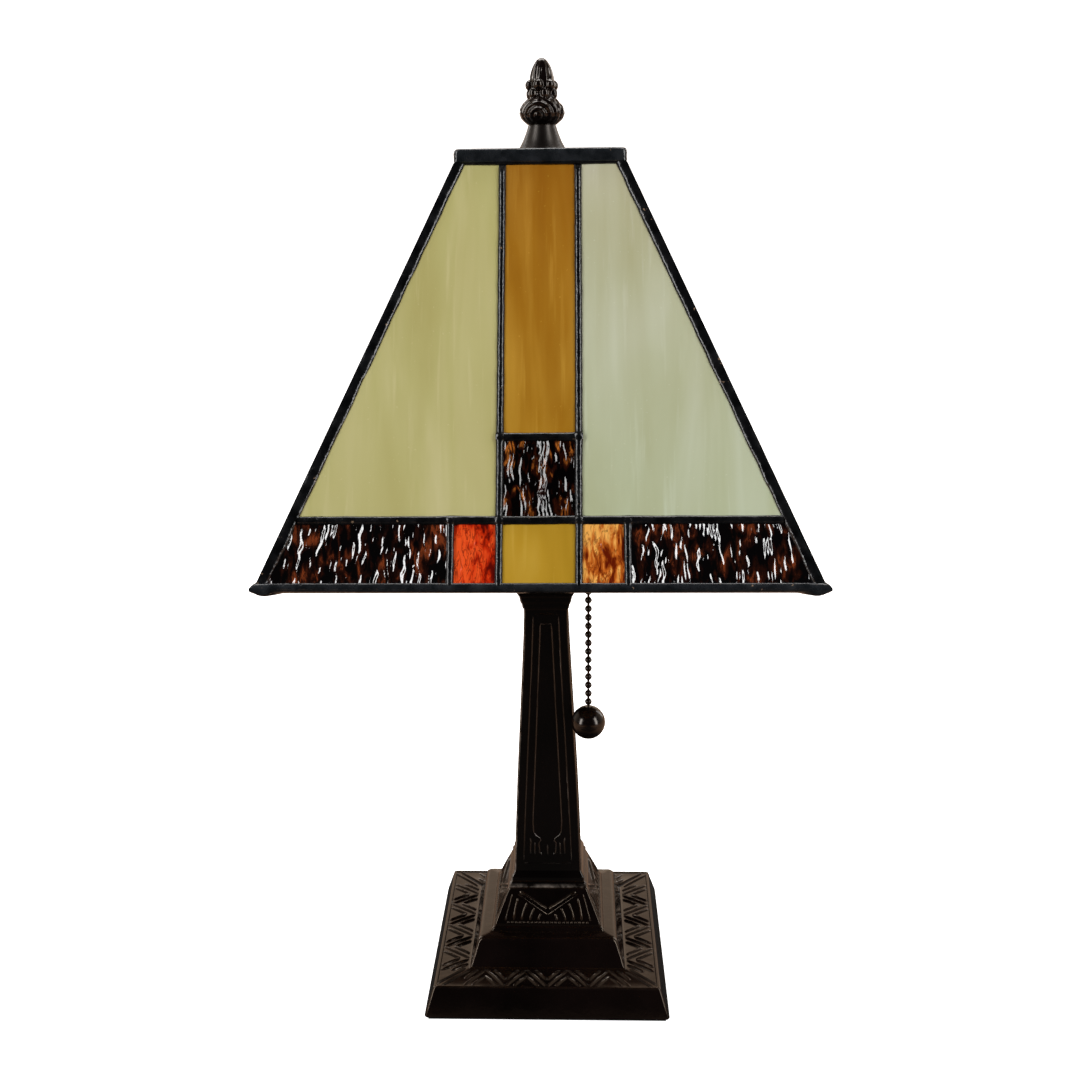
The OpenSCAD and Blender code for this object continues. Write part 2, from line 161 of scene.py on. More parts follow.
# %% Material kit
class Finish:
    """A Principled material and short calls that feed it."""

    def __init__(self, name, roughness, metallic=0.0, ior=1.5, place="object"):
        self.material = bpy.data.materials.new(name)
        self.material.use_nodes = True
        self.nodes = self.material.node_tree.nodes
        self.links = self.material.node_tree.links
        self.shader = self.nodes["Principled BSDF"]
        self.fill(self.shader, {"Roughness": roughness, "Metallic": metallic, "IOR": ior})
        if place == "object":
            self.place = self.nodes.new("ShaderNodeTexCoord").outputs["Object"]
        else:
            attribute = self.nodes.new("ShaderNodeAttribute")
            attribute.attribute_name = place
            self.place = attribute.outputs["Vector"]

    def fill(self, node, inputs):
        """Writes or links each of inputs, a dictionary of socket names, into node."""
        for key, value in inputs.items():
            if isinstance(value, bpy.types.NodeSocket):
                self.links.new(value, node.inputs[key])
            else:
                node.inputs[key].default_value = value

    def noise(self, scale, detail=3.0, stretch=(1, 1, 1), distortion=0.0):
        mapping = self.nodes.new("ShaderNodeMapping")
        mapping.inputs["Scale"].default_value = stretch
        texture = self.nodes.new("ShaderNodeTexNoise")
        self.fill(texture, {"Scale": scale, "Detail": detail, "Distortion": distortion, "Roughness": 0.55})
        self.links.new(self.place, mapping.inputs["Vector"])
        self.links.new(mapping.outputs["Vector"], texture.inputs["Vector"])
        return texture.outputs["Fac"]

    def ramp(self, factor, stops):
        """A colour ramp through stops, a list of (position, colour)."""
        node = self.nodes.new("ShaderNodeValToRGB")
        elements = node.color_ramp.elements
        while len(elements) < len(stops):
            elements.new(0.5)
        for element, (position, colour) in zip(elements, stops):
            element.position = position
            element.color = (*colour, 1)
        self.links.new(factor, node.inputs["Fac"])
        return node.outputs["Color"]

    def levels(self, factor, low, high, out_low=0.0, out_high=1.0):
        """Factor from low to high, stretched to run from out_low to out_high."""
        node = self.nodes.new("ShaderNodeMapRange")
        ends = {"From Min": low, "From Max": high, "To Min": out_low, "To Max": out_high}
        self.fill(node, {**ends, "Value": factor})
        return node.outputs["Result"]

    def mix(self, factor, a, b, how="MIX"):
        """Mixes two colours, each a socket or three numbers, by a socket or a number."""
        node = self.nodes.new("ShaderNodeMix")
        node.data_type = "RGBA"
        node.blend_type = how
        a, b = [(*value, 1) if isinstance(value, tuple) else value for value in (a, b)]
        self.fill(node, {"Factor": factor, "A": a, "B": b})
        return node.outputs["Result"]

    def raised_edges(self, low, high):
        """From 0 on flats to 1 on raised edges."""
        geometry = self.nodes.new("ShaderNodeNewGeometry")
        return self.levels(geometry.outputs["Pointiness"], low, high)

    def colour(self, socket):
        self.links.new(socket, self.shader.inputs["Base Color"])

    def rough(self, factor, low, high):
        self.links.new(self.levels(factor, 0.3, 0.7, low, high), self.shader.inputs["Roughness"])

    def bump(self, height, distance, strength=1.0):
        """Adds a bump of height times distance, in metres, on top of any before it."""
        node = self.nodes.new("ShaderNodeBump")
        self.fill(node, {"Strength": strength, "Distance": distance, "Height": height})
        normal = self.shader.inputs["Normal"]
        if normal.is_linked:
            self.links.new(normal.links[0].from_socket, node.inputs["Normal"])
        self.links.new(node.outputs["Normal"], normal)


# %% [markdown]
# ### The two faces of the sweep
# To the camera the sweep is white paper that glows a little. To what the lamp mirrors it is a brown floor
# with painted shade in front of the lamp and a painted shadow close round it, and a warm wall that glows and
# ends in the dark. Each edge between them is soft, and is set by how far aside, in front, up or away from
# the lamp a point of the sweep is.

# %% Finish of the sweep
BLACK, WHITE = (0.0,) * 3, (1.0,) * 3
FLOOR_BROWN, FLOOR_SHADE = (0.32, 0.20, 0.13), (0.012,) * 3
WALL_FOOT, WALL_WARM, WALL_DARK = (0.20, 0.115, 0.07), (0.84, 0.70, 0.56), (0.03, 0.027, 0.025)
sweep = Finish("sweep_paper", 0.9)
seen = sweep.nodes.new("ShaderNodeLightPath").outputs["Is Camera Ray"]
spot = sweep.nodes.new("ShaderNodeSeparateXYZ")
aside = sweep.nodes.new("ShaderNodeMath")
aside.operation = "ABSOLUTE"
away = sweep.nodes.new("ShaderNodeVectorMath")
away.operation = "LENGTH"
for source, node in ((sweep.place, spot), (spot.outputs["X"], aside), (sweep.place, away)):
    sweep.links.new(source, node.inputs[0])
# Painted shade: the floor that the lamp mirrors is dark in front of it, with a painted shadow close round
# it.
shade_patch = sweep.mix(sweep.levels(spot.outputs["Y"], -0.10, -0.14), BLACK, WHITE)
shade_patch = sweep.mix(sweep.levels(aside.outputs[0], 0.30, 0.24), BLACK, shade_patch)
shade_patch = sweep.mix(sweep.levels(away.outputs["Value"], 0.19, 0.09), shade_patch, WHITE)
wall = sweep.mix(sweep.levels(spot.outputs["Z"], 0.0, 0.3), WALL_FOOT, WALL_WARM)
wall = sweep.mix(sweep.levels(spot.outputs["Z"], 1.08, 1.30), wall, WALL_DARK)
paper = sweep.ramp(sweep.noise(8), [(0, (0.985,) * 3), (1, WHITE)])
sweep.colour(sweep.mix(seen, sweep.mix(shade_patch, FLOOR_BROWN, FLOOR_SHADE), paper))
sweep.fill(sweep.shader, {"Emission Color": sweep.mix(seen, sweep.mix(shade_patch, wall, BLACK), paper),
                          "Emission Strength": 1.0})
sweep_mesh.materials.append(sweep.material)

# %% [markdown]
# ## Opalescent glass
# Art glass is rolled from two or three colours that don't quite mix, so it has long soft wisps along the
# sheet and small seeds of air. The wisps are noise stretched up the panel, in the panel's own coordinates,
# which each pane carries as an attribute. The lamp is unlit, and such glass then shows its own colour by
# what falls on it, so the panes are opaque. Transmission would cost render time and show only the dark
# inside of the shade.


# %% Glass finishes
def opal_glass(name, deep, main, pale, wisp=0.5, low=(1, 1, 1), high=(1, 1, 1), roughness=0.16):
    """Glass in three tones: deep and pale wisps in a main colour, tinted by low and high up the panel."""
    glass = Finish(name, roughness, place="panel_place")
    glass.shader.inputs["Specular IOR Level"].default_value = 0.3
    wisps = glass.noise(1.0, 3, (70, 9, 1), 0.6)
    clouds = glass.noise(1.0, 2, (26, 14, 1), 0.3)
    tone = glass.ramp(wisps, [(0.5 - wisp / 2, deep), (0.5, main), (0.5 + wisp / 2, pale)])
    cloud_tone = glass.ramp(clouds, [(0.35, deep), (0.55, main), (0.75, pale)])
    body = glass.mix(0.4, tone, cloud_tone)
    thin = glass.noise(1.0, 4, (420, 22, 1), 0.2)
    body = glass.mix(glass.levels(thin, 0.58, 0.74, 0, 0.45), body, pale)
    height = glass.nodes.new("ShaderNodeSeparateXYZ")
    glass.links.new(glass.place, height.inputs[0])
    body = glass.mix(1.0, body, glass.ramp(height.outputs["Y"], [(0.02, low), (0.15, high)]), "MULTIPLY")
    seeds = glass.noise(900.0, 1)
    glass.colour(glass.mix(glass.levels(seeds, 0.72, 0.78, 0, 0.5), body, pale))
    glass.rough(clouds, roughness * 0.8, roughness * 1.3)
    glass.bump(glass.noise(1.0, 2, (110, 45, 1)), 0.25 * MM, 0.5)
    return glass


def ripple_glass(name, dark, body, lit, edge, spread, roughness=0.1, ior=1.5):
    """Deep glass with bright slivers of painted light shining through it where the noise is over edge, and
    thin dark creases of painted shade between them.
    """
    glass = Finish(name, roughness, ior=ior, place="panel_place")
    # The lit colour is painted light shining through the glass, and the creases are painted shade.
    glow_slivers = glass.noise(1.0, 3, (420, 130, 1), 0.8)
    patches = glass.noise(1.0, 2, (95, 70, 1), 0.5)
    glow_mask = glass.mix(0.5, glow_slivers, patches)
    tone = glass.ramp(glow_mask, [(edge - spread, dark), (edge, body), (edge + spread, lit)])
    shaded_creases = glass.noise(1.0, 3, (640, 150, 1), 0.9)
    crease_shaded = glass.mix(glass.levels(shaded_creases, 0.465, 0.50, 0, 0.8), tone, dark)
    glass.colour(glass.mix(glass.levels(shaded_creases, 0.50, 0.535), crease_shaded, tone))
    glass.rough(patches, roughness * 0.8, roughness * 1.4)
    glass.bump(glass.noise(1.0, 2, (900, 420, 1), 0.5), 0.06 * MM)
    return glass


cream_warm = opal_glass("cream_glass_warm", (0.42, 0.375, 0.135), (0.49, 0.465, 0.193), (0.61, 0.57, 0.30))
cream_cool = opal_glass("cream_glass_cool", (0.43, 0.44, 0.25), (0.50, 0.535, 0.35), (0.61, 0.65, 0.50), 0.5,
                        (1.0, 1.05, 1.08), (0.99, 0.92, 0.93))
amber = opal_glass("amber_glass", (0.27, 0.102, 0.006), (0.375, 0.172, 0.0125), (0.58, 0.33, 0.046), 0.5,
                   (1.02, 1.08, 1.0), (0.92, 0.85, 0.90))
gold = opal_glass("gold_glass", (0.39, 0.22, 0.013), (0.50, 0.295, 0.026), (0.62, 0.40, 0.06))
# The third colour of each rippled glass is painted light shining through it.
red = ripple_glass("red_glass", (0.11, 0.003, 0.001), (0.60, 0.026, 0.003), (0.92, 0.10, 0.018), 0.495, 0.08)
orange = ripple_glass("orange_glass", (0.13, 0.010, 0.001), (0.60, 0.14, 0.015), (1.0, 0.50, 0.11),
                      0.50, 0.075)
BROWN_DARK = (0.0006, 0.0002, 0.0002)
brown = ripple_glass("brown_glass", BROWN_DARK, (0.022, 0.0045, 0.0015), (0.19, 0.038, 0.010),
                     0.55, 0.075, 0.05, 2.0)
# The square is the same brown glass with brighter painted light shining through it, in amber.
brown_lit_through = ripple_glass("amber_brown_glass", BROWN_DARK, (0.03, 0.0055, 0.0015), (0.50, 0.15, 0.022),
                           0.55, 0.07, 0.06, 1.6)
for rippled in (red, orange, brown, brown_lit_through):
    print(rippled.material.name, "shines by an index of", rippled.shader.inputs["IOR"].default_value)

# %% [markdown]
# ## Solder and castings
# The seams are tin solder blackened with patina: nearly black, glossy, with the bare metal showing at a few
# rubbed spots. The castings are zinc under dark bronze paint, so their colour turns coppery on worn edges,
# and that lighter edge colour is partly a painted highlight as well. Pointiness finds those edges from the
# mesh itself, which is why the ornament has to be real geometry.


# %% Metal finishes
def patina_solder(name, dark, light):
    solder = Finish(name, 0.2)
    blotches = solder.noise(190, 4)
    tone = solder.ramp(blotches, [(0.35, dark), (0.7, light)])
    rubbed = solder.levels(solder.noise(420, 2), 0.72, 0.78, 0, 0.8)
    solder.colour(solder.mix(rubbed, tone, (0.34, 0.23, 0.15)))
    solder.rough(blotches, 0.12, 0.26)
    solder.bump(solder.noise(260, 3), 0.45 * MM, 0.9)
    return solder


COPPER_TINT, PALE_TINT = (1.0, 0.80, 0.62, 1), (1.0, 0.90, 0.82, 1)


def bronze_paint(name, roughness, dark, light, edge_wear_and_highlight, edge=0.5, grain=1.0):
    paint = Finish(name, roughness)
    paint.shader.inputs["Specular Tint"].default_value = COPPER_TINT
    clouds = paint.noise(26, 5)
    tone = paint.ramp(clouds, [(0.3, dark), (0.7, light)])
    # The edge colour is partly worn paint and partly a painted highlight along the edges.
    edge_wear_and_light = paint.raised_edges(0.53, 0.64)
    rubbed = paint.levels(paint.noise(260, 3), 0.35, 0.65, 0, edge)
    rubbed_wear_and_light = paint.mix(rubbed, BLACK, WHITE)
    paint.colour(paint.mix(paint.mix(edge_wear_and_light, BLACK, rubbed_wear_and_light), tone, edge_wear_and_highlight))
    paint.rough(clouds, roughness * 0.8, roughness * 1.25)
    paint.bump(paint.noise(700, 2), 0.03 * MM * grain, 0.6)
    paint.bump(paint.noise(160, 2), 0.20 * MM * grain, 0.5)
    return paint


solder = patina_solder("patina_solder", (0.0015, 0.0017, 0.002), (0.006, 0.0065, 0.0075))
# The rim and the cap get a lighter copy of the solder: its blue-grey is a painted sheen of reflected light.
sheen_solder = patina_solder("solder_painted_sheen", (0.006, 0.0075, 0.009), (0.018, 0.021, 0.025))
BRONZE_DARK, BRONZE_LIGHT = (0.0010, 0.0006, 0.0005), (0.0058, 0.0031, 0.0028)
casting = bronze_paint("dark_bronze", 0.15, BRONZE_DARK, BRONZE_LIGHT, (0.13, 0.085, 0.06), 0.3)
knob_paint = bronze_paint("knob_bronze", 0.09, BRONZE_DARK, BRONZE_LIGHT, (0.10, 0.06, 0.04), 0.2, 0.1)
chain_metal = bronze_paint("chain_bronze", 0.17, BRONZE_DARK, BRONZE_LIGHT, (0.10, 0.045, 0.02), 0.3, 0.1)
satin_bronze = bronze_paint("satin_bronze", 0.34, BRONZE_DARK, BRONZE_LIGHT, (0.10, 0.06, 0.04), 0.2, 0.3)
# On the column the edge colour is pale grey: a painted highlight along the lines of its ornament.
column_paint = bronze_paint("column_bronze", 0.14, (0.0006, 0.0004, 0.0004), (0.0034, 0.0020, 0.0018),
                            (0.26, 0.22, 0.19), 0.8)
for polished in (knob_paint, chain_metal, satin_bronze, column_paint):
    polished.shader.inputs["Specular Tint"].default_value = PALE_TINT


def plain_metal(name, roughness, dark, light, grain, stretch=(1, 1, 1)):
    metal = Finish(name, roughness, 1.0)
    marks = metal.noise(grain, 4, stretch)
    metal.colour(metal.ramp(marks, [(0.3, dark), (0.7, light)]))
    metal.rough(marks, roughness * 0.75, roughness * 1.4)
    metal.bump(marks, 0.03 * MM, 0.5)
    return metal


brass = plain_metal("aged_brass", 0.32, (0.24, 0.14, 0.045), (0.50, 0.33, 0.12), 120)
zinc = plain_metal("zinc_steel", 0.38, (0.36, 0.37, 0.38), (0.58, 0.59, 0.61), 500, (1, 1, 6))
bulb_metal = plain_metal("bulb_aluminium", 0.28, (0.55, 0.55, 0.56), (0.78, 0.78, 0.79), 300)


def plain_matter(name, roughness, dark, light, grain, depth):
    matter = Finish(name, roughness)
    marks = matter.noise(grain, 5)
    matter.colour(matter.ramp(marks, [(0.3, dark), (0.7, light)]))
    matter.bump(marks, depth)
    return matter


porcelain = plain_matter("socket_porcelain", 0.45, (0.50, 0.46, 0.38), (0.66, 0.62, 0.53), 200, 0.05 * MM)
felt = plain_matter("base_felt", 0.95, (0.012, 0.012, 0.011), (0.05, 0.05, 0.046), 1600, 0.4 * MM)
rubbery = plain_matter("bushing_plastic", 0.6, (0.010, 0.010, 0.010), (0.022, 0.022, 0.022), 700, 0.05 * MM)
frosted = plain_matter("frosted_bulb", 0.5, (0.78, 0.77, 0.73), (0.86, 0.85, 0.81), 90, 0.02 * MM)
frosted.shader.inputs["Transmission Weight"].default_value = 0.25


# %% [markdown]
# ## A small kit for meshes
# Three builders make almost every piece. A loft joins rings of points into a closed skin, as a potter or a
# turner thinks of a shape. A ridge lays a half-round bar along a line, which is how cast ornament is carved
# in its pattern. The slab for the glass comes later. Modelling by hand and then cleaning up could do the
# same, but the builders keep each piece closed and light.

# %% Mesh kit
# the visible part of a ridge's section, as (share of its half width, share of its height)
RIDGE = [(1, 0), (0.72, 0.36), (0.3, 0.86), (0, 1), (-0.3, 0.86), (-0.72, 0.36), (-1, 0)]


class Shape:
    """Points and faces that are gathered before they become one piece."""

    def __init__(self):
        self.points = []
        self.faces = []

    def add(self, points, faces):
        first = len(self.points)
        self.points += [tuple(p) for p in points]
        self.faces += [tuple(first + i for i in face) for face in faces]

    def loft(self, rings, closed=False):
        """A skin over rings of equally many points. A closed loft joins the last ring to the first."""
        count = len(rings[0])
        spans = len(rings) if closed else len(rings) - 1
        faces = []
        for r in range(spans):
            low, high = r * count, (r + 1) % len(rings) * count
            for i in range(count):
                j = (i + 1) % count
                faces.append((low + i, low + j, high + j, high + i))
        if not closed:
            faces.append(tuple(reversed(range(count))))
            faces.append(tuple(range((len(rings) - 1) * count, len(rings) * count)))
        self.add([p for ring in rings for p in ring], faces)

    def ridge(self, path, normals, width, height, sunk=0.15 * MM):
        """A half-round bar along path. width and height may be one number or one for each point."""
        rings = []
        for i, (point, normal) in enumerate(zip(path, normals)):
            before, after = path[max(i - 1, 0)], path[min(i + 1, len(path) - 1)]
            along = (after - before).normalized()
            side = along.cross(normal).normalized()
            half = (width[i] if isinstance(width, list) else width) / 2
            rise = height[i] if isinstance(height, list) else height
            end = 0.35 if i in (0, len(path) - 1) else 1.0
            ring = []
            for across, share in RIDGE:
                ring.append(point + side * (across * half) + normal * (share * rise * end - sunk))
            ring.append(point - side * half * 0.9 - normal * sunk * 2)
            ring.append(point + side * half * 0.9 - normal * sunk * 2)
            rings.append(ring)
        self.loft(rings)

    def piece(self, name, finish, body, slot, stands_for=(), sharp_deg=None):
        """The finished object, riding on its CAD body."""
        mesh = bpy.data.meshes.new(name)
        mesh.from_pydata(self.points, [], self.faces)
        tidy = bmesh.new()
        tidy.from_mesh(mesh)
        bmesh.ops.recalc_face_normals(tidy, faces=tidy.faces)
        tidy.to_mesh(mesh)
        tidy.free()
        mesh.shade_smooth()
        if sharp_deg:
            mesh.set_sharp_from_angle(angle=math.radians(sharp_deg))
        mesh.materials.append(finish.material)
        thing = bpy.data.objects.new(name, mesh)
        bpy.context.scene.collection.objects.link(thing)
        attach(thing, body)
        if stands_for:
            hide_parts(*stands_for)
        return thing


def square_ring(half, corner, z, corner_steps=4, edge_steps=5):
    """A level square ring with rounded corners. Where corner equals half it is a circle."""
    arcs = []
    for quarter in range(4):
        start = quarter * math.pi / 2
        x, y = Matrix.Rotation(start, 2) @ Vector((half - corner, half - corner))
        angles = [start + math.pi / 2 * step / corner_steps for step in range(corner_steps + 1)]
        arcs.append([Vector((x + corner * math.cos(a), y + corner * math.sin(a), z)) for a in angles])
    ring = []
    for arc, next_arc in zip(arcs, arcs[1:] + arcs[:1]):
        ring += arc + [arc[-1].lerp(next_arc[0], step / edge_steps) for step in range(1, edge_steps)]
    return ring


def turned_ring(radius, z, steps=48, centre=(0, 0)):
    angles = [2 * math.pi * i / steps for i in range(steps)]
    return [Vector((centre[0] + radius * math.cos(a), centre[1] + radius * math.sin(a), z)) for a in angles]


def spin(point, side):
    """The point turned by side quarter turns about the lamp's axis."""
    return Matrix.Rotation(side * math.pi / 2, 3, "Z") @ Vector(point)


def between(points, x):
    """The straight-line value at x through points, a list of (x, value)."""
    for (x0, y0), (x1, y1) in zip(points, points[1:]):
        if x <= x1:
            return y0 + (y1 - y0) * max(0.0, x - x0) / (x1 - x0)
    return points[-1][1]


def bump_at(x, middle, reach):
    """A smooth bump: 1 at the middle, near 0 two reaches away."""
    return math.exp(-(((x - middle) / reach) ** 2))


def spaced(low, high, step):
    """Evenly spaced values from low to high, at most step apart."""
    count = max(1, math.ceil((high - low) / step - 1e-6))
    return [low + (high - low) * i / count for i in range(count + 1)]


# %% [markdown]
# ## Where the panels lie
# Each side of the shade is a flat panel that leans in. Glass and seams are drawn in the panel's own flat
# coordinates: u along the level, v up the slope and w out of the panel. The tilt, the glass and the seams
# are all read from the corners of the CAD panes, so the dressing follows the frame if it changes.

# %% Panel coordinates
SIDES = ["front", "right", "back", "left"]
RIM_HEIGHT = 2.8 * MM

amber_points = [v.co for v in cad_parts["pane_front_amber"].data.vertices]
gold_points = [v.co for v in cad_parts["pane_front_gold"].data.vertices]
top_point = max(amber_points, key=lambda p: p.z)
low_point = min(gold_points, key=lambda p: p.y)
tilt = math.atan2(top_point.y - low_point.y, top_point.z - low_point.z)
up_slope = Vector((0, math.sin(tilt), math.cos(tilt)))
outward = Vector((0, -math.cos(tilt), math.sin(tilt)))
cap_low, cap_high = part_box("top_cap")
cap_edge = Vector((0, -cap_high.x, cap_low.z))
inset = outward.dot(cap_edge - Vector((0, low_point.y, low_point.z)))
panel_start = Vector((0, low_point.y, low_point.z)) + outward * inset - up_slope * RIM_HEIGHT
slant = up_slope.dot(cap_edge - panel_start)
shade_half = -panel_start.y


def on_panel(side, u, v, w):
    """The place of the panel point (u, v, w) of a side, 0 to 3."""
    return spin(panel_start + Vector((u, 0, 0)) + up_slope * v + outward * w, side)


def panel_half(v, w=0.0):
    """Half width of a panel at the height v on its slope, at the depth w."""
    return shade_half - v * math.sin(tilt) + w * math.cos(tilt)


def pane_corners(node):
    """The four (u, v) corners of each outer face of a front CAD pane, anticlockwise from the lower left."""
    flat = []
    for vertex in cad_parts[node].data.vertices:
        offset = vertex.co - panel_start
        if outward.dot(offset) > -inset - 0.2 * MM:
            flat.append((offset.x, up_slope.dot(offset)))
    groups = [[p for p in flat if p[0] < 0], [p for p in flat if p[0] >= 0]]
    if "borders" not in node:
        groups = [flat]
    corners = []
    for group in groups:
        low_v, high_v = min(p[1] for p in group), max(p[1] for p in group)
        low = [p[0] for p in group if p[1] < (low_v + high_v) / 2]
        high = [p[0] for p in group if p[1] > (low_v + high_v) / 2]
        corners.append([(min(low), low_v), (max(low), low_v), (max(high), high_v), (min(high), high_v)])
    return corners


glass_back = min(outward.dot(p - panel_start) for p in amber_points)
print(f"panels lean {math.degrees(tilt):.2f} degrees, slope {slant / MM:.1f} mm, "
      f"half width {shade_half / MM:.1f} mm")
print(f"glass from {-inset / MM:.2f} to {glass_back / MM:.2f} mm under the face of the seams")

# %% [markdown]
# ## The panes
# A pane is a slab: a fine grid for the face, a flat back, and walls between them. The rolled glass is
# only a little wavy. The rippled glass of the border, the square and the two small lights has upright
# ridges about three millimetres apart, steep enough to catch both soft boxes, so they are in the mesh. A
# bump map alone would look flat where the ridges meet the seams.


# %% Relief of the glass
def rolled_relief(u, v, seed):
    """Gentle waves of rolled glass."""
    return 0.10 * MM * noise.noise(Vector((u / 0.018, v / 0.03, seed)))


def rippled_relief(u, v, seed):
    """Upright wavy ridges that fork and merge."""
    sway = 1.2 * MM * noise.noise(Vector((u / (6 * MM), v / (4.0 * MM), seed + 7)))
    ridge = noise.noise(Vector(((u + sway) / (1.32 * MM), v / (11 * MM), seed)))
    dimple = noise.noise(Vector((u / (1.6 * MM), v / (2.4 * MM), seed + 3)))
    return MM * (0.67 * ridge + 0.13 * dimple)


def dimpled_relief(u, v, seed):
    """Softer ripples of the small red and orange lights."""
    return 0.5 * rippled_relief(u, v, seed)


# name: (finish, slot, relief, grid step along u, grid step along v)
GLASS = {
    "cream_left": (cream_warm, "cream_glass_warm", rolled_relief, 2.6 * MM, 4 * MM),
    "cream_right": (cream_cool, "cream_glass_cool", rolled_relief, 2.6 * MM, 4 * MM),
    "amber": (amber, "amber_glass", rolled_relief, 1.8 * MM, 3 * MM),
    "brown_square": (brown_lit_through, "brown_ripple_glass", rippled_relief, 0.40 * MM, 0.9 * MM),
    "gold": (gold, "gold_glass", rolled_relief, 1.5 * MM, 1.5 * MM),
    "red": (red, "red_glass", dimpled_relief, 0.45 * MM, 0.9 * MM),
    "orange": (orange, "orange_ripple_glass", dimpled_relief, 0.45 * MM, 0.9 * MM),
    "borders": (brown, "brown_ripple_glass", rippled_relief, 0.40 * MM, 0.9 * MM),
}


# %% Build the panes
def pane_shape(shape, places, side, corners, relief, step_u, step_v, seed):
    """Adds a slab with its relief to shape, and its panel coordinates to places."""
    (u0, v0), (u1, _), (u2, v1), (u3, _) = corners
    columns = math.ceil(max(u1 - u0, u2 - u3) / step_u)
    rows = math.ceil((v1 - v0) / step_v)
    across = columns + 1
    flat = []
    for j in range(rows + 1):
        t = j / rows
        left, right = u0 + (u3 - u0) * t, u1 + (u2 - u1) * t
        flat += [(left + (right - left) * i / columns, v0 + (v1 - v0) * t) for i in range(across)]
    points = [on_panel(side, u, v, -inset + relief(u, v, seed)) for u, v in flat]
    faces = []
    for j in range(rows):
        start = j * across
        faces += [(a, a + 1, a + 1 + across, a + across) for a in range(start, start + columns)]
    rim = list(range(across)) + [j * across + columns for j in range(1, rows + 1)]
    rim += list(range(rows * across + columns - 1, rows * across - 1, -1))
    rim += [j * across for j in range(rows - 1, 0, -1)]
    back = range(len(flat), len(flat) + len(rim))
    points += [on_panel(side, *flat[i], glass_back) for i in rim]
    for n, a in enumerate(rim):
        b = (n + 1) % len(rim)
        faces.append((rim[b], a, back[n], back[b]))
    faces.append(tuple(reversed(back)))
    places += [(u, v, seed) for u, v in flat + [flat[i] for i in rim]]
    shape.add(points, faces)


def build_pane(side, kind):
    finish, slot, relief, step_u, step_v = GLASS[kind]
    shape, places = Shape(), []
    for n, corners in enumerate(pane_corners(f"pane_front_{kind}")):
        seed = 5.0 * side + 1.7 * list(GLASS).index(kind) + 11.3 * n
        pane_shape(shape, places, side, corners, relief, step_u, step_v, seed)
    node = f"pane_{SIDES[side]}_{kind}"
    pane = shape.piece(f"glass_{SIDES[side]}_{kind}", finish, "shade", slot, [node], 40)
    attribute = pane.data.attributes.new("panel_place", "FLOAT_VECTOR", "POINT")
    attribute.data.foreach_set("vector", [x for place in places for x in place])
    return pane


for side in range(4):
    for kind in GLASS:
        build_pane(side, kind)
print("panes built:", 4 * len(GLASS), "pieces")

# %% [markdown]
# ## The seams
# Each pane's edge is wrapped in copper foil, and a bead of solder is run along both faces of the joint. A
# bead is a rounded ridge, never quite even, and it swells where two seams meet. Sweeping a bar along each
# line would leave hard creases at the crossings, so the net is one height field on a grid whose lines crowd
# together only across the seams. The two beads of a crossing are added softly.

# %% Where the seams run
amber_corners = pane_corners("pane_front_amber")[0]
cream_corners = pane_corners("pane_front_cream_right")[0]
square_corners = pane_corners("pane_front_brown_square")[0]
gold_corners = pane_corners("pane_front_gold")[0]
orange_corners = pane_corners("pane_front_orange")[0]
border_corners = pane_corners("pane_front_borders")[1]

LAP = 0.12 * MM             # how far a bead laps over the glass
HIP_COVER = 2.4 * MM        # how far from the corner a level seam ends, under the hip seam
NET_STEP = 1.7 * MM         # the net's grid, away from its seams
ROOT = 0.06 * MM            # how deep the foot of a bead sits in the glass
BACK_BEAD = 1.15 * MM       # how far the beads stand out inside the shade


def seam_between(a, b):
    """Middle and half width of the seam between two edges."""
    return (a + b) / 2, (b - a) / 2 + LAP


middle_u, upright_half = seam_between(amber_corners[1][0], cream_corners[0][0])
outer_u, _ = seam_between(orange_corners[1][0], border_corners[0][0])
row_v, level_half = seam_between(gold_corners[2][1], square_corners[0][1])
square_v, _ = seam_between(square_corners[2][1], amber_corners[0][1])
top_v, top_half = seam_between(amber_corners[2][1] + LAP, slant + 0.8 * MM)

# (middle, half width, from, to): the uprights run along v, the levels along u
row_reach = panel_half(row_v) - HIP_COVER
top_reach = panel_half(top_v) - HIP_COVER
UPRIGHTS = [(sign * middle_u, upright_half, 0.5 * MM, slant - 0.2 * MM) for sign in (-1, 1)]
UPRIGHTS += [(sign * outer_u, upright_half, 0.5 * MM, row_v + level_half) for sign in (-1, 1)]
LEVELS = [
    (row_v, level_half, -row_reach, row_reach),
    (square_v, level_half, -middle_u - upright_half, middle_u + upright_half),
    (top_v, top_half, -top_reach, top_reach),
]
ACROSS = (-1, -0.94, -0.8, -0.55, -0.2, 0.2, 0.55, 0.8, 0.94, 1)
print(f"seams: uprights at {middle_u / MM:.1f} and {outer_u / MM:.1f} mm, levels at {row_v / MM:.1f} and "
      f"{square_v / MM:.1f} mm")


# %% Grid lines of a net
def grid_lines(seams, low, high, step):
    """Sorted (place, seam number or None, place across that seam) for one direction."""
    lines = [(middle + a * half, n, a) for n, (middle, half, _, _) in enumerate(seams) for a in ACROSS]
    edges = sorted([low, high] + [middle + s * half for middle, half, _, _ in seams for s in (-1, 1)])
    for start, end in zip(edges, edges[1:]):
        inside = (start + end) / 2
        if any(abs(inside - middle) < half for middle, half, _, _ in seams) or end - start < 0.2 * MM:
            continue
        lines += [(x, None, 0.0) for x in spaced(start, end, step)[1:-1]]
    return sorted(lines)


def bead(across):
    """Height of a rounded bead at the place -1 to 1 across it."""
    return max(0.0, 1 - across * across) ** 0.5


def fade(x, low, high, reach):
    """1 inside low to high, falling to 0 over the last reach."""
    return max(0.0, min(1.0, (x - low) / reach + 0.05, (high - x) / reach + 0.05))


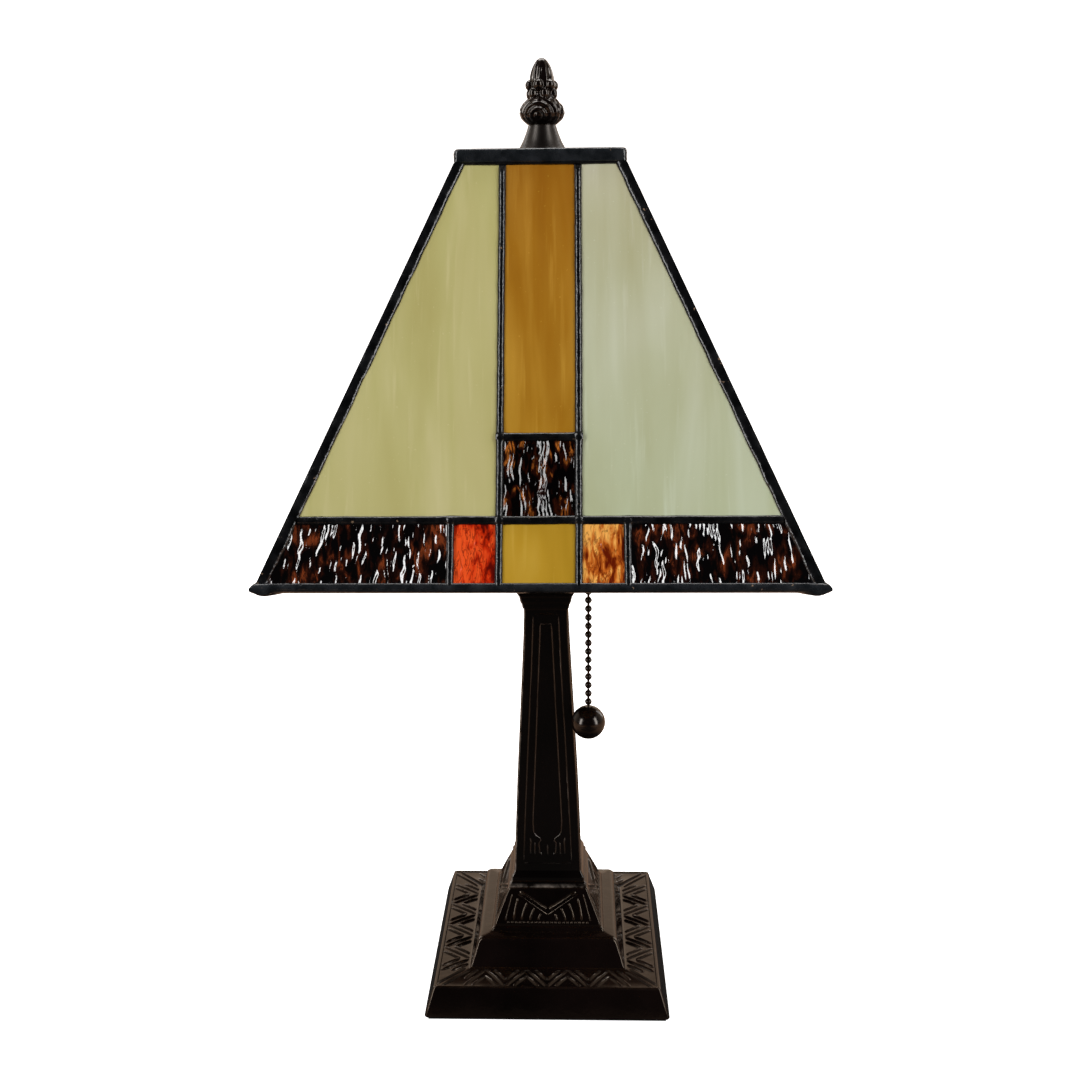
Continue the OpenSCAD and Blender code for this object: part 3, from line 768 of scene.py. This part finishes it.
lines_u = grid_lines(UPRIGHTS, -row_reach, row_reach, NET_STEP)
lines_v = grid_lines(LEVELS, 0.5 * MM, slant, NET_STEP)
print("net grid:", len(lines_u), "by", len(lines_v), "lines")


# %% Build the nets
WANDER = 0.12 * MM          # how far a seam strays from its straight line
JOINT_REACH = 2.2 * MM      # how far the swelling of a crossing spreads


def net_vertex(line_u, line_v, seed):
    """(u, v, height over the glass) of one grid point of a net."""
    (u, seam_u, across_u), (v, seam_v, across_v) = line_u, line_v
    wave = noise.noise(Vector((u / 0.006, v / 0.006, seed)))
    wander = noise.noise(Vector((u / 0.021, v / 0.021, seed + 4)))
    near = max([bump_at(math.hypot(u - mu, v - mv), 0, JOINT_REACH)
                for mu, _, from_v, to_v in UPRIGHTS for mv, _, _, _ in LEVELS
                if from_v - level_half < mv < to_v + 2 * level_half])
    swell = 1 + 0.10 * wave + 0.16 * near
    high = 0.0
    if seam_u is not None:
        middle, half, from_v, to_v = UPRIGHTS[seam_u]
        high += (bead(across_u) * fade(v, from_v - half, to_v, half)) ** 4
        u = middle + across_u * half * swell + WANDER * wander
    if seam_v is not None:
        middle, half, from_u, to_u = LEVELS[seam_v]
        high += (bead(across_v) * fade(u, from_u - half, to_u + half, half)) ** 4
        v = middle + across_v * half * swell + WANDER * wander
    return u, v, high ** 0.25 * (1 + 0.14 * wave + 0.22 * near)


def build_net(side):
    """The net of one side: beads on the face and on the back, with walls between them."""
    shape, numbers, points, kept = Shape(), {}, [], set()
    for i in range(len(lines_u) - 1):
        for j in range(len(lines_v) - 1):
            u, v = (lines_u[i][0] + lines_u[i + 1][0]) / 2, (lines_v[j][0] + lines_v[j + 1][0]) / 2
            in_upright = any(abs(u - m) < half and lo < v < hi for m, half, lo, hi in UPRIGHTS)
            in_level = any(abs(v - m) < half and lo < u < hi for m, half, lo, hi in LEVELS)
            if in_upright or in_level:
                kept.add((i, j))

    def corner(i, j, face):
        key = (i, j, face)
        if key not in numbers:
            u, v, high = net_vertex(lines_u[i], lines_v[j], 3.1 * side + (0 if face else 50))
            w = -inset - ROOT + (inset + ROOT) * high if face else glass_back + ROOT - BACK_BEAD * high
            numbers[key] = len(points)
            points.append(on_panel(side, u, v, w))
        return numbers[key]

    faces = []
    for i, j in kept:
        ring = [(i, j), (i + 1, j), (i + 1, j + 1), (i, j + 1)]
        faces.append(tuple(corner(a, b, True) for a, b in ring))
        faces.append(tuple(corner(a, b, False) for a, b in reversed(ring)))
        for n, (di, dj) in enumerate([(0, -1), (1, 0), (0, 1), (-1, 0)]):
            if (i + di, j + dj) not in kept:
                a, b = ring[n], ring[(n + 1) % 4]
                faces.append((corner(*b, True), corner(*a, True), corner(*a, False), corner(*b, False)))
    shape.add(points, faces)
    node = f"seams_{SIDES[side]}"
    return shape.piece(f"solder_{node}", solder, "shade", "patina_solder", [node], 50)


for side in range(4):
    net = build_net(side)
print("faces in one net:", len(net.data.polygons))

# %% [markdown]
# ## The hips
# At the four corners the panels meet edge to edge, and one heavy bead of solder rounds the corner outside
# while a smaller fillet fills it inside. The bead is a loft: one closed outline, drawn across the two
# panels, moved up the corner and made a little uneven as it goes.

# %% Build the hip seams
hip_inner = panel_half(border_corners[1][1]) - border_corners[1][0]
print(f"hip seams {hip_inner / MM:.1f} mm wide on each panel")
# points of the bead and of the fillet inside, as (share of that width, w in mm)
HIP_FACE = [(1.08, -1.06), (0.98, -0.5), (0.8, -0.16), (0.52, 0.0), (0.24, -0.02)]
HIP_BACK = [(1.75, -3.74), (1.5, -4.3), (1.36, -5.0)]
HIP_CREST = 0.55 * MM


def both_panels(corner, v, points):
    """The two sides of a hip outline and their middle. points is a list of (distance from the corner, w)."""
    right = [on_panel(corner, panel_half(v) - q, v, w) for q, w in points]
    left = [on_panel((corner + 1) % 4, q - panel_half(v), v, w) for q, w in points]
    return right, left, (right[-1] + left[-1]) / 2


def hip_ring(corner, v):
    """The outline of a hip seam at the height v, once round its bead and its inner fillet."""
    wave = noise.noise(Vector((v / (7 * MM), corner * 3.7, 1.3)))
    width = hip_inner * (1 + 0.08 * wave)
    bead_points = [(share * width, (w + 0.10 * wave * (1.08 - share)) * MM) for share, w in HIP_FACE]
    right, left, crest = both_panels(corner, v, bead_points)
    crest += Vector((crest.x, crest.y, 0)).normalized() * HIP_CREST
    inner = both_panels(corner, v, [(share * hip_inner, w * MM) for share, w in HIP_BACK])
    return right + [crest] + left[::-1] + inner[1] + [inner[2]] + inner[0][::-1]


hips = Shape()
for corner in range(4):
    hips.loft([hip_ring(corner, v) for v in spaced(1.2 * MM, slant - 0.1 * MM, 1.5 * MM)])
hips.piece("solder_hip_seams", solder, "shade", "patina_solder", ["hip_seams"], 60)

# %% [markdown]
# ## The rim
# A channel closes the bottom edge of the panels, and the four corners end in blobs of solder that hang a
# little below the edge. Both are one loft round the square: its outline stands across the panel, and near
# each corner it is pushed out and down.

# %% Build the rim
BLOB_OUT, BLOB_REACH = 1.9 * MM, 3.6 * MM       # how far a corner blob swells, and along how much of the rim
HANG_DOWN, HANG_OUT, HANG_AT, HANG_REACH = 1.7, 0.5 * MM, 3.3 * MM, 2.2 * MM
LIFT_REACH = 2.6 * MM
RIM_LUMPS = 0.10 * MM
# (v, w) in mm round the channel
RIM_OUTLINE = [(3.1, -1.06), (2.95, -0.5), (2.5, -0.12), (1.5, 0.0), (0.6, -0.12), (0.1, -0.7), (-0.1, -1.8),
               (-0.1, -3.2), (0.15, -4.3), (0.9, -4.95), (2.0, -5.0), (2.8, -4.6), (3.1, -3.74)]


def rim_ring(side, share):
    """The rim's outline at share, -1 to 1, of the way along a side."""
    from_corner = (1 - abs(share)) * shade_half
    blob = bump_at(from_corner, 0, BLOB_REACH)
    hang = bump_at(from_corner, HANG_AT, HANG_REACH)
    lift = bump_at(from_corner, 0, LIFT_REACH)
    lump = noise.noise(Vector((share * 9, side * 2.3, 4.4)))
    diagonal = spin((math.copysign(1, share), -1, 0), side).normalized()
    ring = []
    for v_mm, w_mm in RIM_OUTLINE:
        v, w = v_mm * MM, w_mm * MM
        w += RIM_LUMPS * lump if w_mm > -2 else 0.0
        point = on_panel(side, share * panel_half(v, w), v, w)
        outer = max(0.0, 1 + w_mm / 3.5)
        low = max(0.0, 1 - v_mm / 3.0)
        point += diagonal * (BLOB_OUT * blob * outer * bump_at(v_mm, 1.5, 2.6))
        point += diagonal * (HANG_OUT * hang * outer * low)
        point.z += ((0.2 + 0.4 * lump) * lift - HANG_DOWN * hang) * MM * low * (0.4 + 0.6 * outer)
        ring.append(point)
    return ring


steps = spaced(-1, 1, 1.1 * MM / shade_half)[:-1]
rim = Shape()
rim.loft([rim_ring(side, share) for side in range(4) for share in steps], closed=True)
rim.piece("solder_rim_channel", sheen_solder, "shade", "patina_solder", ["rim_channel"], 60)
print("rim sections:", 4 * len(steps))

# %% [markdown]
# ## The top cap
# A square pressed cap closes the shade and carries its weight on the harp. It is lofted from its inner edge
# over the skirt to the hole for the stud. The rings turn from rounded squares into circles as they go in,
# because a ring whose corner radius is half its width is a circle.

# %% Build the cap
# each ring is (half width, corner radius, height); an edge ring gives how far in from the cap's edge, in mm
cap_half, cap_base, cap_top = cap_high.x, cap_low.z, cap_high.z
stud_hole = 3.25 * MM
plate, skirt = 1.0 * MM, 1.2 * MM
edge_rings = [(0.4, 1.2, cap_base - 0.3 * MM), (-0.05, 1.6, cap_base + 0.3 * MM),
              (0, 1.7, cap_base + 1.2 * MM), (0, 1.7, cap_top - 1.9 * MM), (0.15, 1.7, cap_top - 1.0 * MM),
              (0.5, 1.8, cap_top - 0.4 * MM), (1.1, 2, cap_top - 0.1 * MM), (2, 2, cap_top)]
cap_rings = [(cap_half - skirt, 0.6 * MM, cap_base)]
cap_rings += [(cap_half - back * MM, corner * MM, z) for back, corner, z in edge_rings]
cap_rings += [(cap_half * 0.75, 6 * MM, cap_top), (10 * MM, 10 * MM, cap_top),
              (stud_hole, stud_hole, cap_top), (stud_hole, stud_hole, cap_top - plate),
              (10 * MM, 10 * MM, cap_top - plate), (cap_half - skirt, 0.6 * MM, cap_top - plate)]


def cap_wave(point):
    """Small dents, kept off the parts of the cap that other pieces touch."""
    edge = max(abs(point.x), abs(point.y)) / cap_half
    if edge < 0.6:
        return point
    push = 0.22 * MM * noise.noise(point / (6 * MM))
    return point + Vector((point.x, point.y, 0)).normalized() * push


cap = Shape()
cap.loft([[cap_wave(p) for p in square_ring(h, r, z, 6, 26)] for h, r, z in cap_rings], closed=True)
cap.piece("shade_top_cap", sheen_solder, "shade", "patina_solder", ["top_cap"], 35)

# %% [markdown]
# ## The finial
# The knob is cast: a bud with upright flutes, a collar of curled leaf tips, and a bulb carved with fans of
# arcs. It is turned from an outline, and the ornament is added by moving each point in or out by a rule in
# its angle and height. Sculpting could do it too, but a rule repeats evenly round the knob, as a mould does.

# %% Outline and ornament of the finial
finial_low, finial_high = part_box("finial")
knob_outline = [(p[0] * MM, p[1] * MM) for p in [
    (0.0, 5.5), (0.6, 6.2), (1.4, 7.1), (2.4, 7.9), (4.0, 8.4), (5.6, 8.25), (7.0, 7.55), (8.2, 6.7),
    (9.2, 5.7), (9.9, 4.9), (11.0, 4.5), (12.4, 4.5), (14.0, 4.6), (15.4, 4.65), (17.2, 4.6), (18.9, 4.2),
    (20.4, 3.6), (21.5, 3.05), (22.5, 2.4), (23.2, 1.75), (23.7, 1.05), (23.95, 0.4), (24.0, 0.05)]]


BULB_RADIUS, COLLAR_RADIUS = 8.2, 4.6           # of the knob in mm, where its arcs and its leaves are
FAN_COUNT, TIP_COUNT = 3, 6
ARC_PITCH = 2.7


def around(angle, count, phase, radius):
    """How far, in mm along the knob's skin, an angle is from the nearest of count evenly spaced marks."""
    return ((angle * count / (2 * math.pi) + phase) % 1 - 0.5) * 2 * math.pi / count * radius


def leaf_tips(angle, z, ring_z, phase, radius):
    """A ring of balls, seen as how far they stand out of the knob."""
    turn = around(angle, TIP_COUNT, phase, COLLAR_RADIUS)
    return math.sqrt(max(0.0, radius ** 2 - turn ** 2 - ((z - ring_z) * 0.85) ** 2))


def knob_ornament(angle, z):
    """How far the carving stands out, in mm, at an angle and a height in mm over the foot of the knob."""
    from_fan = math.hypot(around(angle, FAN_COUNT, 0.35, BULB_RADIUS), (z - 3.0) * 1.15)
    arcs = 0.40 * math.cos(from_fan * 2 * math.pi / ARC_PITCH) * bump_at(z, 5.2, 3.6)
    arcs -= 0.1 * bump_at(z, 5, 4)
    tips = max(leaf_tips(angle, z, 14.0, 0.25, 1.75), leaf_tips(angle, z, 11.3, 0.75, 1.55))
    flutes = -0.34 * abs(math.sin(angle * 5.5)) ** 1.5 * (bump_at(z, 18.6, 3.4) if z > 15.2 else 0)
    return arcs + tips + flutes


knob = Shape()
knob_steps = 128
knob_rings = []
for z in spaced(0, finial_high.z - finial_low.z, 0.28 * MM):
    radius = between(knob_outline, z)
    ring = []
    for i in range(knob_steps):
        angle = 2 * math.pi * i / knob_steps
        out = radius + knob_ornament(angle, z / MM) * MM * min(1.0, radius / (3 * MM))
        ring.append(Vector((out * math.cos(angle), out * math.sin(angle), finial_low.z + z)))
    knob_rings.append(ring)
knob.loft(knob_rings)
knob.piece("finial_knob", knob_paint, "finial", "dark_bronze", ["finial"])

# %% [markdown]
# Under the knob is a plain flared neck that spreads its pull over the cap. A short lip at its foot catches a
# thin line of light.

# %% Build the neck of the finial
neck_low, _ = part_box("finial_neck")
neck_outline = [(3.4, 0), (9.2, 0), (9.4, 0.3), (9.35, 0.75), (8.9, 1.05), (8.6, 1.6), (8.0, 2.6),
                (7.35, 3.9), (6.75, 5.3), (6.15, 6.8), (5.7, 8.1), (5.4, 9.1), (5.2, 9.55), (3.4, 9.6)]
neck = Shape()
neck.loft([turned_ring(r * MM, neck_low.z + z * MM, 64) for r, z in neck_outline], closed=True)
neck.piece("finial_bell", satin_bronze, "finial", "dark_bronze", ["finial_neck"], 50)
print("finial:", round((finial_high.z - neck_low.z) / MM, 1), "mm tall")

# %% [markdown]
# ## The base
# The base is one hollow casting: a low plinth, a plain second tier, and a third with ornament. Rounded
# square rings follow its outline up the outside and down the inside, so it is hollow like the real one.
# Small steps at each edge give the soft corners that a mould leaves, and those corners catch the light.

# %% Outline of the base
BORDER_FLOOR = 13.2         # mm, the height of the sunk border
SLOPE_STEPS = 10


def slope_of_tier_three(share):
    """(half width, height) in mm on the side of the third tier, share 0 to 1 of its height."""
    return 23.1 - 6.0 * share + 0.12 * math.sin(math.pi * share), 27.4 + 14.2 * share


# (half width, height, corner radius) in mm, up the outside and then down the inside
base_outline = [
    (49.9, 1.2, 1.2), (50.7, 1.35, 1.4), (51.0, 1.9, 1.4), (50.75, 2.8, 1.3), (47.5, 12.7, 1.0),
    (47.25, 13.25, 1.0), (46.7, 13.6, 0.9), (46.0, 13.55, 0.8), (45.7, BORDER_FLOOR, 0.8),
    (33.9, BORDER_FLOOR, 0.8), (33.5, 13.5, 0.9), (33.0, 13.8, 1.0), (32.7, 14.6, 1.1), (30.1, 23.0, 1.3),
    (29.6, 24.2, 1.4), (28.8, 25.1, 1.4), (27.7, 25.5, 1.3), (24.8, 25.5, 0.9), (24.3, 25.7, 0.9),
    (24.1, 26.2, 0.9), (23.6, 26.7, 0.9), (23.1, 27.1, 0.9)]
base_outline += [(*slope_of_tier_three(i / SLOPE_STEPS), 0.8) for i in range(SLOPE_STEPS)]
base_outline += [
    (17.1, 41.85, 1.0), (16.6, 42.2, 1.0), (10, 42.2, 10), (5.1, 42.2, 5.1), (5.1, 39, 5.1), (14.5, 39, 1),
    (18.5, 30, 1), (18.5, 22.3, 1), (26.5, 22.3, 1), (29.7, 10.4, 1), (44, 10.4, 1), (46.6, 2.2, 1),
    (47.2, 1.2, 1)]
base = Shape()
base.loft([square_ring(h * MM, r * MM, z * MM, 5, 8) for h, z, r in base_outline], closed=True)


# %% [markdown]
# ### Zigzag border
# The top of the plinth has a sunk border filled with chevrons: a zigzag, two more beside it, and double
# lines along the four mitres. Each chevron line is drawn once as a zigzag, shifted sideways and cut off at
# the edges of the border, which leaves nested V shapes in every triangle.

# %% Chevrons of the border
def cut_to(low, high, start, end):
    """The part of the segment from start to end, each (along, out), where out is between low and high."""
    lo, hi = 0.0, 1.0
    change = end[1] - start[1]
    for bound, keep_above in ((low, True), (high, False)):
        if abs(change) > 1e-9:
            t = (bound - start[1]) / change
            if (change > 0) == keep_above:
                lo = max(lo, t)
            else:
                hi = min(hi, t)
    if hi - lo < 0.08:
        return None
    return [(start[0] + (end[0] - start[0]) * t, start[1] + change * t) for t in (lo, hi)]


def lay_on_plate(shape, side, line, width, height):
    """A ridge on the border from line, a list of (along, out) in mm."""
    path = [spin((a * MM, -out * MM, BORDER_FLOOR * MM), side) for a, out in line]
    shape.ridge(path, [Vector((0, 0, 1))] * len(path), width, height)


BORDER_IN, BORDER_OUT = 34.2, 45.4
ZIGZAG = [(along, 45.6 if n % 2 else 33.6) for n, along in enumerate(spaced(-43.5, 43.5, 8.7))]
LINE_SHIFT = 4.6
TAPER = (0, 0.12, 0.5, 0.88, 1)                 # where a chevron line has its points, so that its ends sink
for side in range(4):
    for shift in (-LINE_SHIFT, 0.0, LINE_SHIFT):
        for start, end in zip(ZIGZAG, ZIGZAG[1:]):
            moved = [(p[0], p[1] + shift) for p in (start, end)]
            part = cut_to(BORDER_IN, BORDER_OUT, *moved)
            if part and max(abs(a) - out for a, out in part) < -1.2:
                points = [tuple(Vector(part[0]).lerp(Vector(part[1]), t)) for t in TAPER]
                lay_on_plate(base, side, points, 2.1 * MM, 0.9 * MM)
    for off in (-0.95, 0.95):
        mitre = [(33.8 + off + t * 11.6, 33.8 - off + t * 11.6) for t in (0.02, 0.1, 0.5, 0.9, 0.98)]
        lay_on_plate(base, side, mitre, 1.3 * MM, 0.85 * MM)


# %% [markdown]
# ### Third tier
# Its sloping sides carry a wide V over a fan of curved bars, between two upright lines, with a row of beads
# along the foot. The ornament is drawn on the face as (along, height) and laid on the slope of the tier.

# %% Ornament of the third tier
TIER_THREE = [tuple(reversed(slope_of_tier_three(i / 40))) for i in range(41)]


def on_face(profile, side, along, z):
    """Place and outward direction of a point on the side of a square casting, all in mm."""
    half = between(profile, z)
    slope = (between(profile, z + 0.4) - between(profile, z - 0.4)) / 0.8
    return spin((along * MM, -half * MM, z * MM), side), spin((0, -1, -slope), side).normalized()


def lay_on_face(shape, profile, side, line, width, height, step=1.2):
    """A ridge on a casting's face along line, a list of (along, height) in mm."""
    dense = []
    for (a0, z0), (a1, z1) in zip(line, line[1:]):
        count = max(1, math.ceil(math.hypot(a1 - a0, z1 - z0) / step))
        dense += [(a0 + (a1 - a0) * i / count, z0 + (z1 - z0) * i / count) for i in range(count)]
    dense.append(line[-1])
    placed = [on_face(profile, side, a, z) for a, z in dense]
    shape.ridge([p for p, _ in placed], [n for _, n in placed], width * MM, height * MM)


def bead_on_face(shape, profile, side, along, z, radius):
    point, normal = on_face(profile, side, along, z)
    rings = []
    side_way = normal.orthogonal().normalized()
    other_way = normal.cross(side_way)
    for angle in (0.0, 0.5, 1.0, 1.4):
        reach, rise = radius * math.cos(angle) * MM, (radius * math.sin(angle) * 0.8 - 0.1) * MM
        rings.append([point + normal * rise + reach * (side_way * math.cos(t) + other_way * math.sin(t))
                      for t in [2 * math.pi * i / 10 for i in range(10)]])
    shape.loft(rings)


FAN_FOOT = 29.6
# (place of the foot, height of the top, lean) of each bar of the fan, in mm
FAN_BARS = [(14.6, 38.0, -1.6), (11.2, 36.2, -2.2), (7.6, 34.2, -1.8), (4.0, 32.0, -0.9)]
for side in range(4):
    for sign in (-1, 1):
        for drop, width, height in ((0.0, 2.0, 1.0), (2.3, 1.1, 0.4)):
            tip, foot = (12.0 + drop * 0.4, 40.6 - drop * 0.4), (0.7 - drop * 0.2, 34.0 - drop)
            lay_on_face(base, TIER_THREE, side, [(sign * a, z) for a, z in (tip, foot)], width, height)
        lay_on_face(base, TIER_THREE, side, [(sign * 18.4, 29.4), (sign * 15.4, 39.6)], 1.0, 0.5)
        for start, top, lean in FAN_BARS:
            curve = [(sign * (start + lean * t * t), FAN_FOOT + (top - FAN_FOOT) * t)
                     for t in spaced(0, 1, 0.25)]
            lay_on_face(base, TIER_THREE, side, curve, 1.3, 0.5)
    for n in range(-10, 11):
        bead_on_face(base, TIER_THREE, side, n * 1.7, 28.7, 0.7)
base.piece("base_casting", casting, "stand", "dark_bronze", ["base_plinth"], 38)
print("base casting:", len(base.faces), "faces")

# %% [markdown]
# ## The column
# A second casting stands on the base: a square shaft that narrows as it rises, on a moulded foot and under
# a flared capital. Each face carries a thin frame, a raised strip that widens downward and ends in a
# curled point, and a few short bars under it. They are ridges again, laid on the tapered face.

# %% Outline of the column
# (height, half width) in mm
COLUMN = [(42.2, 16.7), (43.7, 16.7), (44.3, 16.4), (44.7, 15.85), (46.4, 15.8), (47.0, 15.5), (47.9, 14.95),
          (48.6, 14.6), (49.2, 14.4), (91, 12.65), (153, 9.4), (164, 9.12), (166.4, 9.2), (166.9, 9.6),
          (167.6, 9.75), (168.4, 9.85), (169.6, 10.4), (171.2, 10.75), (172.2, 10.95), (172.8, 11.3),
          (174.0, 11.9), (174.6, 12.35), (175.4, 12.5), (178.0, 12.5)]
SHAFT = [p for p in COLUMN if 49 < p[0] < 165]
bore = 5.4
column_rings = [square_ring(half * MM, 0.8 * MM, z * MM, 5, 6) for z, half in COLUMN]
column_rings += [square_ring(bore * MM, bore * MM, z * MM, 5, 6) for z in (COLUMN[-1][0], COLUMN[0][0])]
column = Shape()
column.loft(column_rings, closed=True)


# %% Ornament of the column
FRAME_FOOT, FRAME_TOP, STRIP_TOP = 52.6, 164.2, 160
FRAME_LINE, STRIP_LINE, BAR_LINE = (0.75, 0.32), (0.8, 0.42), (0.9, 0.35)       # (width, height) in mm


def frame_edge(z):
    return between(SHAFT, z) - 3.9


def strip_half(z):
    """Half width of the raised strip."""
    return 2.3 + (STRIP_TOP - z) * 0.044


# lines of one half of a face, as (points, kind, step)
HALF_LINES = [
    ([(frame_edge(z), z) for z in (FRAME_FOOT, 80, 110, 140, FRAME_TOP)], FRAME_LINE, 6),
    ([(strip_half(z), z) for z in (STRIP_TOP, 140, 120, 100, 85, 72)]
     + [(6.0, 67.5), (5.2, 65.8), (3.4, 64.4), (2.9, 63.2), (3.6, 62.0), (3.5, 57.6), (2.4, 56.8)],
     STRIP_LINE, 4),
    ([(7.6, 64.6), (7.2, 62.6), (7.4, 56.8)], BAR_LINE, 1.2),
    ([(5.4, 62.4), (5.5, 56.6)], BAR_LINE, 1.2),
]
# lines that cross the middle, as (half width, height, kind)
LEVEL_LINES = [(frame_edge(FRAME_TOP), FRAME_TOP, FRAME_LINE),
               (strip_half(STRIP_TOP), STRIP_TOP, STRIP_LINE),
               (frame_edge(FRAME_FOOT), FRAME_FOOT, FRAME_LINE)]
for side in range(4):
    for sign in (-1, 1):
        for points, kind, step in HALF_LINES:
            lay_on_face(column, SHAFT, side, [(sign * a, z) for a, z in points], *kind, step)
    for half, z, kind in LEVEL_LINES:
        lay_on_face(column, SHAFT, side, [(-half, z), (half, z)], *kind)
    lay_on_face(column, SHAFT, side, [(0, 61.4), (0, 56.6)], *BAR_LINE)
column.piece("column_casting", column_paint, "stand", "dark_bronze", ["column"], 38)
print("column casting:", len(column.faces), "faces")

# %% [markdown]
# ## The pull chain
# Ball chain is hollow beads on short wires. Each bead is turned with the small flat where the wire enters.
# The chain is in three parts, as it moves: the part that the spout holds, the bead that it swings from, and
# the length that hangs, with its ball.

# %% Beads and wire
hang_low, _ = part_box("pull_chain")
swivel_low, swivel_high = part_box("chain_swivel")
ball_low, ball_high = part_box("pull_ball")
swivel = (swivel_low + swivel_high) / 2
bead_radius = (swivel_high.z - swivel_low.z) / 2
bead_pitch, wire_radius = 3.65 * MM, 0.48 * MM
chain_at = (swivel.x, swivel.y)
# half a bead's outline from its middle up, as shares of its radius
HALF_BEAD = [(0.98, 0.18), (0.88, 0.47), (0.68, 0.73), (0.42, 0.91), (0.28, 0.965)]


def chain_bead(shape, z):
    """A bead with a flat at both poles and a faint joint round its middle."""
    outline = [(r, -h) for r, h in reversed(HALF_BEAD)] + [(0.975, 0.0)] + HALF_BEAD
    shape.loft([turned_ring(r * bead_radius, z + h * bead_radius, 20, chain_at) for r, h in outline])


def chain_wire(shape, z0, z1):
    shape.loft([turned_ring(wire_radius, z, 10, chain_at) for z in (z0, z1)])


hanging = Shape()
beads = round((swivel.z - hang_low.z) / bead_pitch - 0.55)
for n in range(1, beads + 1):
    chain_bead(hanging, swivel.z - n * bead_pitch)
chain_wire(hanging, hang_low.z, swivel.z - bead_radius * 0.9)
hanging.piece("hanging_chain", chain_metal, "chain_hang", "chain_bronze", ["pull_chain"], 50)

link = Shape()
chain_bead(link, swivel.z)
link.piece("swivel_bead", chain_metal, "chain_link", "chain_bronze", ["chain_swivel"], 50)

slider = Shape()
for n in (1, 2, 3):
    chain_bead(slider, swivel.z + n * bead_pitch)
chain_wire(slider, swivel.z + bead_radius * 0.9, swivel.z + 3 * bead_pitch)
slider.piece("sliding_chain", chain_metal, "chain_pull", "chain_bronze", ["chain_slider"], 50)
print("beads on the hanging chain:", beads)

# %% [markdown]
# The ball is two pressed halves, so it has a hair line round the middle, and a small neck where the chain
# enters it.

# %% Build the ball
ball_middle = (ball_low + ball_high) / 2
ball_radius = (ball_high.x - ball_low.x) / 2
ball = Shape()
ball_rings = []
for degrees in [-89, *range(-80, -9, 10), -3, -1, 0, 1, 3, *range(10, 61, 10), 68, 73, 75]:
    angle = math.radians(degrees)
    radius = ball_radius - (0.05 * MM if degrees == 0 else 0.0)
    ball_rings.append((radius * math.cos(angle), radius * math.sin(angle)))
ball_rings += [(1.7 * MM, ball_radius * 0.985), (1.2 * MM, ball_radius * 0.99)]
ball.loft([turned_ring(radius, ball_middle.z + rise, 64, chain_at) for radius, rise in ball_rings])
ball.piece("pull_chain_ball", chain_metal, "chain_hang", "chain_bronze", ["pull_ball"], 50)

# %% [markdown]
# ## The pieces inside
# Harp, socket, tube, nut, pad and bushing already have their true shapes in the CAD model, so they are kept
# and only get their finishes. The screw shell and the porcelain of the socket share one CAD node, and the
# porcelain's finish serves both, because neither shows when the bulb is in.

# %% Finish the kept pieces
KEPT = {
    "harp_saddle": brass, "harp_loop": brass, "harp_ferrules": brass, "harp_seat": brass,
    "socket_cap": brass, "socket_shell": brass, "socket_interior": porcelain, "bulb_glass": frosted,
    "bulb_base": bulb_metal, "threaded_tube": zinc, "base_nut": zinc, "base_pad": felt,
    "cord_bushing": rubbery,
}
for node, finish in KEPT.items():
    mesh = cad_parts[node].data
    if not mesh.materials:
        mesh.materials.append(finish.material)
    for index in range(len(mesh.materials)):
        mesh.materials[index] = finish.material
print("kept from the frame:", ", ".join(KEPT))
